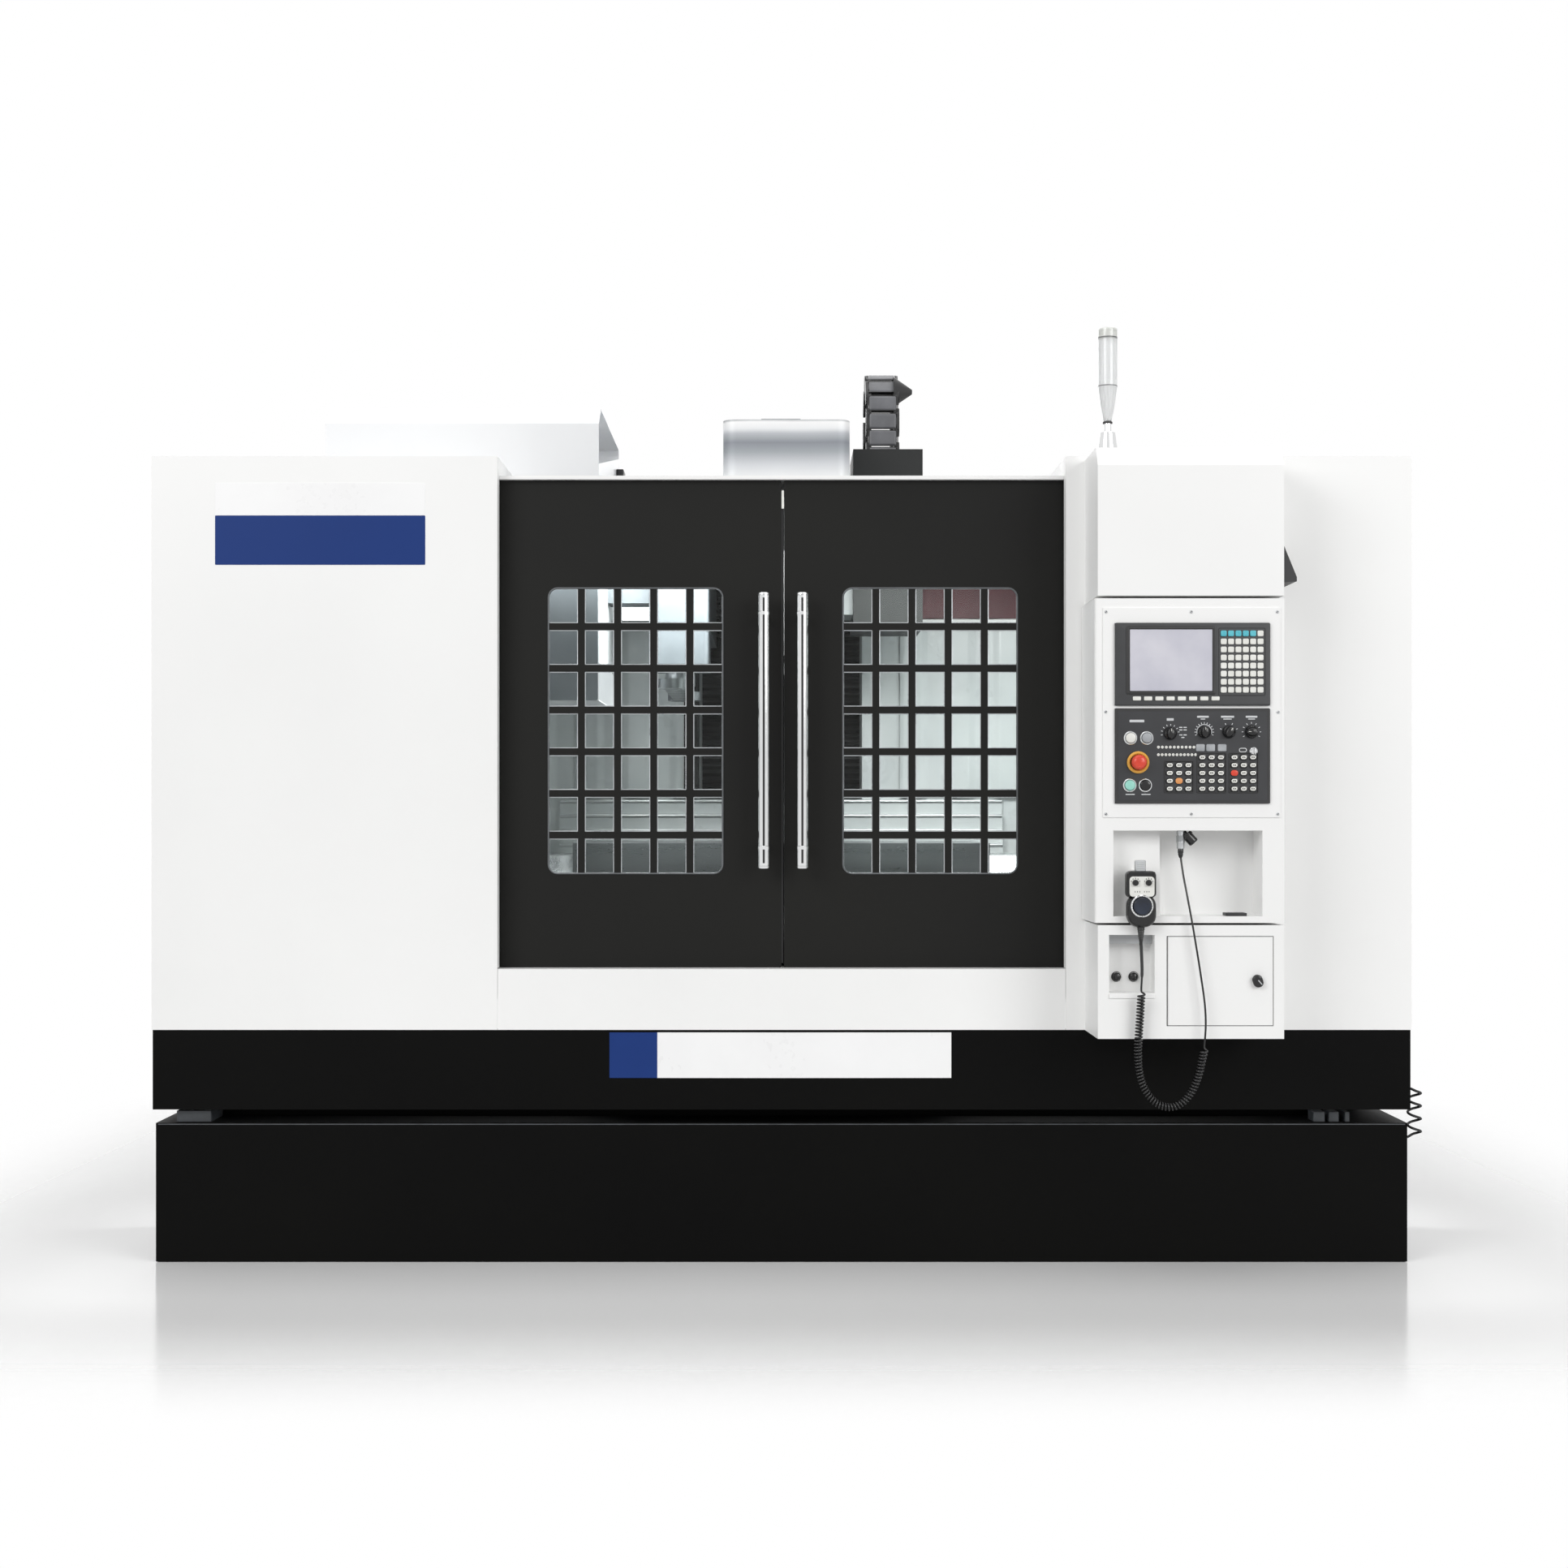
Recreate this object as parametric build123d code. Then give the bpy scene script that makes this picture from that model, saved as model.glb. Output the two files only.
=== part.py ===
from build123d import *
import os
from math import cos, pi, radians, sin

# Vertical machining centre with a sliding two-door enclosure, a side control pendant,
# a travelling table, a column with a vertical head and a tool magazine.
# Millimetres, +Z up, +X to the operator's right, +Y away from the operator.
# While modelling, y = 0 is the front plane of the enclosure. Every piece is moved at the
# end so that the origin is the centre of the footprint, on the floor.

# Enclosure
WIDTH = 3400
COVER_BOTTOM = 626
COVER_TOP = 2174
SIDE_DEPTH = 2300
INNER_SIDE_DEPTH = 700
BACK_GAP = 490
HOOD_CLEAR = 10
SHEET = 3
DOOR_OPENING = 1534
LIP_DEPTH = 40
SILL_TOP = 790
SKIRT_BOTTOM = 411
SKIRT_INSET = 3
SKIRT_SHEET = 4
TANK_TOP = 374
TANK_INSET = 10
TANK_SETBACK = 6
TANK_DEPTH = 530
BAFFLE_SETBACK = 150
BAFFLE_LEFT_INSET = 50
BAFFLE_RIGHT_INSET = 156
BAFFLE_THICK = 30
GLAND_RADIUS = 7
GLAND_PROUD = 3
SIDE_CABLE_Y = 60
SIDE_CABLE_TOP = 465
SIDE_CABLE_BOTTOM = 324
SIDE_COIL_RADIUS = 21
SIDE_COIL_STANDOFF = 4
SIDE_CABLE_DIAMETER = 7

# Doors
DOOR_WIDTH = 819
DOOR_SETBACK = 60
DOOR_THICK = 40
DOOR_SKIN = 3
DOOR_TOP = 2118
DOOR_CLEAR = 3
DOOR_RUN = 0.5
DOOR_MEETING = -1
DOOR_SEAM = 8
TRACK_DEPTH = 120
TRACK_SHEET = 10
WINDOW_LEFT_X = -398
WINDOW_RIGHT_X = 405
WINDOW_WIDTH = 474
WINDOW_BOTTOM = 1047
WINDOW_TOP = 1824
WINDOW_CORNER = 25
BAR_WIDTH = 19
BAR_THICK = 4
COLUMNS = 5
ROWS = 7
GLASS_THICK = 8
GLASS_LAP = 18
HANDLE_RADIUS = 16.5
HANDLE_BOTTOM = 1065
HANDLE_TOP = 1802
HANDLE_LEFT_X = -48
HANDLE_RIGHT_X = 56
HANDLE_STANDOFF = 62
HANDLE_POST_RADIUS = 9
HANDLE_POST_INSET = 60
HANDLE_END_CHAMFER = 4

# Splash guard round the work area
GUARD_HALF = 1165
GUARD_FRONT = 120
GUARD_BACK = 1860
GUARD_BOTTOM = 700
GUARD_TOP = 2110
GUARD_BACK_TOP = 2400
HEAD_GAP = 290
CHAIN_WALL_RIGHT = 420
APRON_HALF = 790
APRON_BOTTOM = 1006
APRON_TOP = 1265
APRON_STEPS = 5
APRON_STEP_DEPTH = 12
COVER_PASS_TOP = 1110
COVER_PASS_MARGIN = 40

# Bed and column
BED_HALF = 480
BED_FRONT = 560
BED_BACK = 2600
BED_BOTTOM = 70
BED_TOP = 640
BED_WAIST = 60
FOOT_RADIUS = 60
FOOT_PLATE = 20
FOOT_STUD_RADIUS = 18
RAIL_WIDTH = 45
RAIL_HEIGHT = 40
RUN_CLEAR = 0.3
BLOCK_SIDE = 27
Y_RAIL_X = 330
Y_RAIL_LENGTH = 1400
X_RAIL_Y = 220
X_RAIL_HALF = 1090
Z_RAIL_X = 150
Z_RAIL_BOTTOM = 1350
SCREW_RADIUS = 20
SCREW_BLOCK = 50
MOTOR_SIDE = 160
MOTOR_LENGTH = 230
COLUMN_HALF = 350
COLUMN_FRONT = 2045
COLUMN_TOP = 2440
COLUMN_POCKET = 120
COLUMN_FOOT = 130

# Table, saddle and their covers
SPINDLE_Y = 1213
TABLE_HALF_X = 650
TABLE_HALF_Y = 330
TABLE_TOP = 1120
TABLE_THICK = 150
SLOT_COUNT = 5
SLOT_PITCH = 125
SLOT_NECK = 18
SLOT_NECK_DEPTH = 22
SLOT_WIDE = 32
SLOT_WIDE_DEPTH = 14
X_BLOCK_SPREAD = 330
Y_BLOCK_SPREAD = 240
BLOCK_LENGTH = 150
SADDLE_HALF_X = 1140
SADDLE_BOTTOM = 700
SADDLE_TOP = 880
SADDLE_WING = 70
X_TRAVEL = 450
Y_TRAVEL = 240
COVER_SHEET = 3
COVER_STEP = 5
COVER_CLEAR = 0.5
X_COVER_LENGTH = 540
X_COVER_START = TABLE_HALF_X
X_COVER_TOP = 1080
X_COVER_HALF_Y = 325
X_COVER_SLOPE = 60
Y_COVER_HALF = 478
Y_COVER_TOP = 866
Y_COVER_SIDE = 760
Y_COVER_SLOPE = 120
Y_COVER_LENGTH = 510

# Head
HEAD_HALF = 190
HEAD_FRONT = 1080
HEAD_BACK = 1960
HEAD_BOTTOM = 1720
HEAD_TOP = 2200
HEAD_CHAMFER = 60
NOSE_Z = 1640
NOSE_RADIUS = 110
NOSE_GAP = 2
SPINDLE_FLANGE = 18
SPINDLE_RADIUS = 62
SPINDLE_SHAFT = 45
SPINDLE_TOP = 2000
SPINDLE_CLEAR = 0.05
TAPER_MOUTH = 22.225
TAPER_SMALL = 12.5
TAPER_DEPTH = 66
KEY_WIDTH = 16
KEY_HEIGHT = 8
MOTOR_RADIUS = 115
MOTOR_TOP = 2440
MOTOR_COVER_X = 17
MOTOR_COVER_WIDTH = 408
MOTOR_COVER_FRONT = 1080
MOTOR_COVER_BACK = 1500
MOTOR_COVER_TOP = 2478
MOTOR_COVER_CORNER = 40
CHAIN_BOX_LEFT = 240
CHAIN_BOX_RIGHT = 471
CHAIN_BOX_FRONT = 1326
CHAIN_BOX_BACK = 1640
CHAIN_BOX_BOTTOM = 1830
CHAIN_BOX_TOP = 2426
CHAIN_BOX_SHEET = 4
CHAIN_X = 349
CHAIN_WIDTH = 114
CHAIN_THICK = 56
CHAIN_BEND = 130
CHAIN_CENTRE_Z = 2589
CHAIN_LINKS_BEND = 7
CHAIN_LINKS_LEG = 7
CHAIN_PLATE = 9
CHAIN_BAR = 8
CHAIN_CONE_RADIUS = 52
CHAIN_CONE_TIP = 8
CHAIN_CONE_LENGTH = 47
CHAIN_CONE_TURN = 41

# Tool magazine and changer
HOOD_LEFT = -1405
HOOD_RIGHT = -562
HOOD_FRONT = 806
HOOD_BACK = 1620
HOOD_BOTTOM = 1560
HOOD_EDGE = 2414
HOOD_TOP = 2474
HOOD_FACET = 73
HOOD_SIDE_FRONT = 2290
HOOD_SIDE_BACK = 2442
DISC_Z = 1985
DISC_X = -1010
DISC_RADIUS = 330
DISC_THICK = 24
DISC_BORE_CLEAR = 0.05
AXLE_RADIUS = 45
POTS = 20
POT_RADIUS = 33
POT_LENGTH = 110
POT_RING = 355
ARM_X = -330
ARM_REACH = 330
ARM_Z = 1600
ARM_THICK = 30
ARM_WIDTH = 70
ARM_GRIP_RADIUS = 42
ARM_SHAFT_RADIUS = 38
GEARBOX_HALF_X = 95
GEARBOX_HALF_Y = 130
GEARBOX_BOTTOM = 1680
GEARBOX_TOP = 2080
GEARBOX_PLATE = 15
GEARBOX_ARM_THICK = 40

# Electrical cabinet at the back
CABINET_HALF = 800
CABINET_DEPTH = 280
CABINET_BOTTOM = 450
CABINET_TOP = 2150
CABINET_DOOR_THICK = 20
CABINET_CLEAR = 10
CABINET_DOOR_MARGIN = 25
CABINET_VENT_SLOTS = 8

# Control pendant
PENDANT_LEFT = 818
PENDANT_RIGHT = 1300
PENDANT_FRONT = -234
HEAD_BOX_BOTTOM = 1773
HEAD_BOX_EDGE = 2111
HEAD_BOX_RIDGE = 2162
HEAD_BOX_FACET = 34
CONSOLE_LEFT = 810
CONSOLE_RIGHT = 1305
CONSOLE_BOTTOM = 926
CONSOLE_TOP = 1766
CONSOLE_GAP = 4
CONSOLE_CORNER = 8
BASE_BOX_TOP = 920
PIVOT_RADIUS = 18
PIVOT_INSET = 40
PIVOT_CLEAR = 0.05
PIVOT_DEPTH = 30
PLATE_LEFT = 831
PLATE_RIGHT = 1290
PLATE_BOTTOM = 1199
PLATE_TOP = 1741
PLATE_PROUD = 3
NICHE_LEFT = 858
NICHE_RIGHT = 1244
NICHE_BOTTOM = 943
NICHE_TOP = 1165
NICHE_STEP_X = 987
NICHE_SHALLOW = 50
NICHE_DEEP = 110
VENT_BOTTOM = 1814
VENT_TOP = 1914
VENT_OUT = 28
VENT_FRONT = -190
VENT_BACK = -50

# Front of the console
UNIT_LEFT = 861
UNIT_RIGHT = 1262
DISPLAY_BOTTOM = 1488
DISPLAY_TOP = 1702
DISPLAY_PROUD = 8
SCREEN_LEFT = 900
SCREEN_RIGHT = 1111
SCREEN_BOTTOM = 1526
SCREEN_TOP = 1684
SCREEN_RECESS = 3
KEY_SIDE = 15.5
KEY_PROUD = 3
KEY_FIRST_X = 1141
KEY_PITCH_X = 19
KEY_COLUMNS = 6
KEY_FIRST_Z = 1674
KEY_PITCH_Z = 20.8
KEY_ROWS = 8
SOFT_KEY_Z = 1506
SOFT_KEY_FIRST_X = 917
SOFT_KEY_PITCH = 29
SOFT_KEYS = 8
SOFT_KEY_WIDTH = 20
SOFT_KEY_HEIGHT = 10
PANEL_BOTTOM = 1235
PANEL_TOP = 1481
PANEL_PROUD = 6
GROUP_RECESS = 2
GROUP_KEY_WIDTH = 17
GROUP_KEY_HEIGHT = 11
GROUP_PITCH_X = 25
GROUP_PITCH_Z = 20.5
GROUP_FIRST_Z = 1273
GROUP_ONE_X = 1001
GROUP_TWO_X = 1085
GROUP_THREE_X = 1168
STOP_X = 920
STOP_Z = 1341
STOP_RING_RADIUS = 29
STOP_RING_PROUD = 10
STOP_HEAD_RADIUS = 20
STOP_HEAD_LENGTH = 18
STOP_TRAVEL = 6
BUTTON_RADIUS = 14
BUTTON_PROUD = 5
BUTTON_TRAVEL = 3
BUTTON_RING = 2.5
POWER_ON_X = 901
POWER_OFF_X = 943
POWER_Z = 1404
START_X = 899
HOLD_X = 939
START_Z = 1282
MODE_X = 1003.5
MODE_Z = 1416
KNOB_Z = 1420
FEED_X = 1091.5
RAPID_X = 1155
SPEED_X = 1213
KNOB_RADIUS = 16
KNOB_PROUD = 20
KNOB_GRIP = 9
KEY_SWITCH_X = 1219
KEY_SWITCH_Z = 1370
KEY_SWITCH_RADIUS = 8.5
STEM_CLEAR = 0.05
STEM_RADIUS = 6
STEM_DEPTH = 12
STOP_STEM = 10
UNIT_DEPTH = 30

# Hand-wheel set, its hook, its plug and its cord
HANDSET_X = 926
HANDSET_STANDOFF = 3
HANDSET_WIDTH = 76
HANDSET_TOP = 1088
HANDSET_BOTTOM = 915
HANDSET_DEPTH = 34
DIAL_Z = 971
DIAL_RADIUS = 25
DIAL_PROUD = 10
SELECTOR_RADIUS = 8
SELECTOR_PROUD = 10
SELECTOR_SPREAD = 17
SELECTOR_Z = 1055
HOOK_WIDTH = 28
HOOK_THICK = 3
RELIEF_RADIUS = 8
RELIEF_LENGTH = 36
CORD_PLUG_X = 1037
CORD_PLUG_EXIT = 1097
CORD_PLUG_RADIUS = 14
CORD_PLUG_LENGTH = 42
CORD_PLUG_STANDOFF = 26
CORD_DIAMETER = 7
COIL_DIAMETER = 23

# Base box
BASE_NICHE_LEFT = 847
BASE_NICHE_RIGHT = 965
BASE_NICHE_BOTTOM = 744
BASE_NICHE_TOP = 895
BASE_NICHE_DEPTH = 70
PLUG_RADIUS = 12
PLUG_PROUD = 6
PLUG_Z = 782
STORE_LEFT = 996
STORE_RIGHT = 1273
STORE_BOTTOM = 659
STORE_TOP = 892
STORE_DEPTH = 170
STORE_RIM = 12
STORE_DOOR_THICK = 12
STORE_DOOR_GAP = 2
STORE_PIN_RADIUS = 3
LATCH_X = 1231
LATCH_Z = 776
LATCH_RADIUS = 14
LATCH_PROUD = 12
LATCH_CLEAR = 0.05

# Signal tower
TOWER_X = 854
TOWER_Y = -165
TOWER_RADIUS = 25
TOWER_NECK_RADIUS = 9.5
TOWER_FLANGE = 26
TOWER_NECK_BOTTOM = 2206
TOWER_CONE_BOTTOM = 2233
TOWER_TUBE_BOTTOM = 2328
TOWER_CAP_BOTTOM = 2455
TOWER_TOP = 2479

# Sizes that follow from the ones above
HALF = WIDTH / 2
INNER = DOOR_OPENING / 2
SKIRT_HALF = HALF - SKIRT_INSET
TRACK_HALF = HALF - SHEET
CABINET_BACK = BED_BACK + CABINET_DEPTH
DOOR_BOTTOM = SILL_TOP + DOOR_RUN
HEADER_BOTTOM = DOOR_TOP + DOOR_RUN
HEADER_TOP = HEADER_BOTTOM + TRACK_SHEET
DOOR_BACK = DOOR_SETBACK + DOOR_THICK
CHAIN_PITCH = 2 * CHAIN_BEND * sin(radians(90 / CHAIN_LINKS_BEND))
PIVOT_X = CONSOLE_RIGHT - PIVOT_INSET
PIVOT_Y = -CONSOLE_GAP - PIVOT_INSET
PLATE_FRONT = PENDANT_FRONT - PLATE_PROUD
PANEL_FRONT = PLATE_FRONT - PANEL_PROUD
HANDSET_BACK = PENDANT_FRONT - HANDSET_STANDOFF
CORD_Y = HANDSET_BACK - HANDSET_DEPTH / 2
RELIEF_EXIT = HANDSET_BOTTOM - RELIEF_LENGTH
STORE_AXIS_X = STORE_LEFT + STORE_DOOR_GAP + STORE_DOOR_THICK / 2
STORE_AXIS_Y = PENDANT_FRONT + STORE_DOOR_THICK / 2
FRONT_MOST = HANDSET_BACK - HANDSET_DEPTH - RUN_CLEAR - DIAL_PROUD
MID_Y = (FRONT_MOST + CABINET_BACK) / 2
BUTTON_PLACES = {
    "power_on_button": (POWER_ON_X, POWER_Z),
    "power_off_button": (POWER_OFF_X, POWER_Z),
    "cycle_start_button": (START_X, START_Z),
    "feed_hold_button": (HOLD_X, START_Z),
}
KNOB_PLACES = {
    "mode_knob": (MODE_X, MODE_Z),
    "feed_knob": (FEED_X, KNOB_Z),
    "rapid_knob": (RAPID_X, KNOB_Z),
    "spindle_speed_knob": (SPEED_X, KNOB_Z),
    "key_switch": (KEY_SWITCH_X, KEY_SWITCH_Z),
}


def block(x0, x1, y0, y1, z0, z1):
    """A box between two corners."""
    middle = ((x0 + x1) / 2, (y0 + y1) / 2, (z0 + z1) / 2)
    return Pos(*middle) * Box(x1 - x0, y1 - y0, z1 - z0)


def rod_x(x0, x1, y, z, radius):
    """A cylinder along X."""
    return Pos((x0 + x1) / 2, y, z) * Rot(0, 90, 0) * Cylinder(radius, x1 - x0)


def rod_y(y0, y1, x, z, radius):
    """A cylinder along Y."""
    return Pos(x, (y0 + y1) / 2, z) * Rot(90, 0, 0) * Cylinder(radius, y1 - y0)


def rod_z(z0, z1, x, y, radius):
    """A cylinder along Z."""
    return Pos(x, y, (z0 + z1) / 2) * Cylinder(radius, z1 - z0)


def slab_x(points, x0, x1):
    """A section drawn in the YZ plane, carried from x0 to x1."""
    section = make_face(Polyline(*[(0, y, z) for y, z in points], close=True))
    return Pos(x0, 0, 0) * extrude(section, amount=x1 - x0, dir=(1, 0, 0))


def slab_y(points, y0, y1):
    """A section drawn in the XZ plane, carried from y0 to y1."""
    section = make_face(Polyline(*[(x, 0, z) for x, z in points], close=True))
    return Pos(0, y0, 0) * extrude(section, amount=y1 - y0, dir=(0, 1, 0))


def save(name, solid):
    """Moves a piece to the final origin and writes it."""
    piece = Pos(0, -MID_Y, 0) * solid
    piece.label = name
    export_step(piece, f"parts/{name}.step")


def side_cover(side):
    """One folded side cover: front, outer side, roof, back, inner top side and a front lip."""
    inner, outer = side * INNER, side * HALF
    left, right = min(inner, outer), max(inner, outer)
    cover = block(left, right, 0, SHEET, COVER_BOTTOM, COVER_TOP)
    wall = sorted((outer - side * SHEET, outer))
    cover += block(*wall, 0, SIDE_DEPTH, COVER_BOTTOM, COVER_TOP)
    cover += block(left, right, 0, SIDE_DEPTH, COVER_TOP - SHEET, COVER_TOP)
    back = sorted((side * BACK_GAP, outer))
    cover += block(*back, SIDE_DEPTH - SHEET, SIDE_DEPTH, COVER_BOTTOM, COVER_TOP)
    if side < 0:
        gap = HOOD_CLEAR
        cover -= block(HOOD_LEFT - gap, -INNER, HOOD_FRONT - gap, HOOD_BACK + gap, COVER_TOP - SHEET, COVER_TOP)
    gap = CABINET_CLEAR
    cover -= block(-CABINET_HALF - gap, CABINET_HALF + gap, BED_BACK - gap, CABINET_BACK + gap,
                   CABINET_BOTTOM - gap, CABINET_TOP + gap)
    edge = sorted((inner, inner + side * SHEET))
    cover += block(*edge, 0, INNER_SIDE_DEPTH, HEADER_TOP, COVER_TOP)
    cover += block(*edge, 0, LIP_DEPTH, SILL_TOP + DOOR_CLEAR, HEADER_TOP)
    return cover


def door_header():
    """The top track, a channel that the doors hang from, seen as a thin line above them."""
    track = block(-TRACK_HALF, TRACK_HALF, LIP_DEPTH + SHEET, TRACK_DEPTH, HEADER_BOTTOM, HEADER_TOP)
    return track + block(-TRACK_HALF, TRACK_HALF, DOOR_BACK + DOOR_CLEAR, TRACK_DEPTH,
                         HEADER_BOTTOM - LIP_DEPTH, HEADER_BOTTOM)


def front_sill():
    """The white sill under the doors, with the ledge that the doors run on."""
    seam = DOOR_CLEAR / 3
    sill = block(-INNER + seam, INNER - seam, 0, SHEET, COVER_BOTTOM, SILL_TOP)
    sill += block(-INNER + seam, INNER - seam, 0, TRACK_DEPTH, SILL_TOP - SHEET, SILL_TOP)
    sill += block(-TRACK_HALF, TRACK_HALF, LIP_DEPTH + SHEET, TRACK_DEPTH, SILL_TOP - TRACK_SHEET, SILL_TOP)
    return sill + block(-TRACK_HALF, TRACK_HALF, TRACK_DEPTH - SHEET, TRACK_DEPTH, GUARD_BOTTOM, SILL_TOP)


def machine_skirt():
    """The black skirt, a tray below the covers with a front, two sides and a rim on top."""
    skirt = block(-SKIRT_HALF, SKIRT_HALF, 0, SIDE_DEPTH, SKIRT_BOTTOM, COVER_BOTTOM)
    skirt -= block(-SKIRT_HALF + SKIRT_SHEET, SKIRT_HALF - SKIRT_SHEET, SKIRT_SHEET, SIDE_DEPTH,
                   SKIRT_BOTTOM + SKIRT_SHEET, COVER_BOTTOM - SKIRT_SHEET)
    skirt -= block(-SKIRT_HALF + LIP_DEPTH, SKIRT_HALF - LIP_DEPTH, LIP_DEPTH, SIDE_DEPTH, SKIRT_BOTTOM, COVER_BOTTOM)
    return skirt + rod_x(SKIRT_HALF, SKIRT_HALF + GLAND_PROUD, SIDE_CABLE_Y, SIDE_CABLE_TOP, GLAND_RADIUS)


def coolant_tank():
    """The coolant tank on the floor, with the raised baffle that carries the skirt."""
    half = HALF - TANK_INSET
    tank = block(-half, half, TANK_SETBACK, TANK_DEPTH, 0, TANK_TOP)
    tank += block(BAFFLE_LEFT_INSET - HALF, HALF - BAFFLE_RIGHT_INSET, BAFFLE_SETBACK, BAFFLE_SETBACK + BAFFLE_THICK,
                  TANK_TOP, SKIRT_BOTTOM)
    for side in (-1, 1):
        post = sorted((side * half, side * (half - BAFFLE_THICK)))
        tank += block(*post, TANK_DEPTH - BAFFLE_THICK, TANK_DEPTH, TANK_TOP, SKIRT_BOTTOM)
    return tank + rod_x(half, half + GLAND_PROUD, SIDE_CABLE_Y, SIDE_CABLE_BOTTOM, GLAND_RADIUS)


def rail_y(x, y0, y1, z):
    """A guide rail along Y standing on z."""
    return block(x - RAIL_WIDTH / 2, x + RAIL_WIDTH / 2, y0, y1, z, z + RAIL_HEIGHT)


def bed_casting():
    """The bed with its waist, the two long rails, the feed screw and the motor."""
    back_rail = COLUMN_FRONT - COVER_STEP
    bed = block(-BED_HALF, BED_HALF, BED_FRONT, BED_BACK, BED_BOTTOM, BED_TOP)
    for side in (-1, 1):
        cut = sorted((side * (BED_HALF - BED_WAIST), side * BED_HALF))
        bed -= block(*cut, BED_FRONT + BED_WAIST, BED_BACK - BED_WAIST,
                     BED_BOTTOM + BED_WAIST, BED_TOP - BED_WAIST * 2)
        bed += rail_y(side * Y_RAIL_X, back_rail - Y_RAIL_LENGTH, back_rail, BED_TOP)
    screw_z = BED_TOP + RAIL_HEIGHT / 2
    bed += rod_y(BED_FRONT, back_rail, 0, screw_z + COVER_STEP, SCREW_RADIUS / 2)
    for y in (BED_FRONT, back_rail - SCREW_BLOCK):
        bed += block(-SCREW_BLOCK, SCREW_BLOCK, y, y + SCREW_BLOCK, BED_TOP, SADDLE_BOTTOM - COVER_STEP)
    return bed


def levelling_feet():
    """Six round floor pads, each with the stud that carries the bed."""
    feet = []
    inset = FOOT_RADIUS + BED_WAIST / 2
    for x in (-BED_HALF + inset, BED_HALF - inset):
        for y in (BED_FRONT + inset, (BED_FRONT + BED_BACK) / 2, BED_BACK - inset):
            foot = rod_z(0, FOOT_PLATE, x, y, FOOT_RADIUS) + rod_z(FOOT_PLATE, BED_BOTTOM, x, y, FOOT_STUD_RADIUS)
            feet.append(foot)
    return Compound(children=feet)


def column_casting():
    """The column with its front recess, its two rails and the feed motor on top."""
    column = block(-COLUMN_HALF, COLUMN_HALF, COLUMN_FRONT, BED_BACK, BED_TOP, COLUMN_TOP)
    column -= block(-Z_RAIL_X + RAIL_WIDTH, Z_RAIL_X - RAIL_WIDTH, COLUMN_FRONT, COLUMN_FRONT + COLUMN_POCKET / 2,
                    BED_TOP + COLUMN_FOOT * 2, COLUMN_TOP)
    for side in (-1, 1):
        x = side * Z_RAIL_X
        column += block(x - RAIL_WIDTH / 2, x + RAIL_WIDTH / 2, COLUMN_FRONT - RAIL_HEIGHT, COLUMN_FRONT,
                        Z_RAIL_BOTTOM, COLUMN_TOP)
    half = MOTOR_SIDE / 2
    column += block(-half, half, COLUMN_FRONT, COLUMN_FRONT + MOTOR_SIDE + SCREW_BLOCK, COLUMN_TOP,
                    COLUMN_TOP + SCREW_BLOCK)
    middle = COLUMN_FRONT + (MOTOR_SIDE + SCREW_BLOCK) / 2
    column += block(-half * 0.9, half * 0.9, middle - half * 0.9, middle + half * 0.9,
                    COLUMN_TOP + SCREW_BLOCK, COLUMN_TOP + MOTOR_LENGTH)
    return column


def splash_back():
    """The inner guard: two side walls, a back wall with the head's gap, and a stepped apron."""
    guard = Part()
    for side in (-1, 1):
        wall = sorted((side * GUARD_HALF, side * (GUARD_HALF + COVER_SHEET)))
        sheet = block(*wall, GUARD_FRONT, GUARD_BACK, GUARD_BOTTOM, GUARD_TOP)
        reach = X_COVER_HALF_Y + Y_TRAVEL + COVER_PASS_MARGIN
        sheet -= block(*wall, SPINDLE_Y - reach, GUARD_BACK - COVER_SHEET, GUARD_BOTTOM, COVER_PASS_TOP)
        guard += sheet
        if side < 0:
            margin = COVER_PASS_MARGIN
            guard -= block(*wall, HOOD_FRONT - margin, HOOD_BACK + margin, HOOD_BOTTOM - margin, GUARD_TOP)
    back = block(-GUARD_HALF - COVER_SHEET, GUARD_HALF + COVER_SHEET, GUARD_BACK, GUARD_BACK + COVER_SHEET,
                 APRON_BOTTOM, GUARD_TOP)
    back += block(HEAD_GAP, CHAIN_WALL_RIGHT, GUARD_BACK, GUARD_BACK + COVER_SHEET, GUARD_TOP, GUARD_BACK_TOP)
    back -= block(-HEAD_GAP, HEAD_GAP, GUARD_BACK, GUARD_BACK + COVER_SHEET, APRON_TOP, GUARD_BACK_TOP)
    guard += back
    step = (APRON_TOP - APRON_BOTTOM) / APRON_STEPS
    for i in range(APRON_STEPS):
        z = APRON_BOTTOM + i * step
        depth = APRON_STEP_DEPTH * (APRON_STEPS - i)
        guard += block(-APRON_HALF, APRON_HALF, GUARD_BACK - depth, GUARD_BACK, z, z + step)
    return guard


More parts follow.
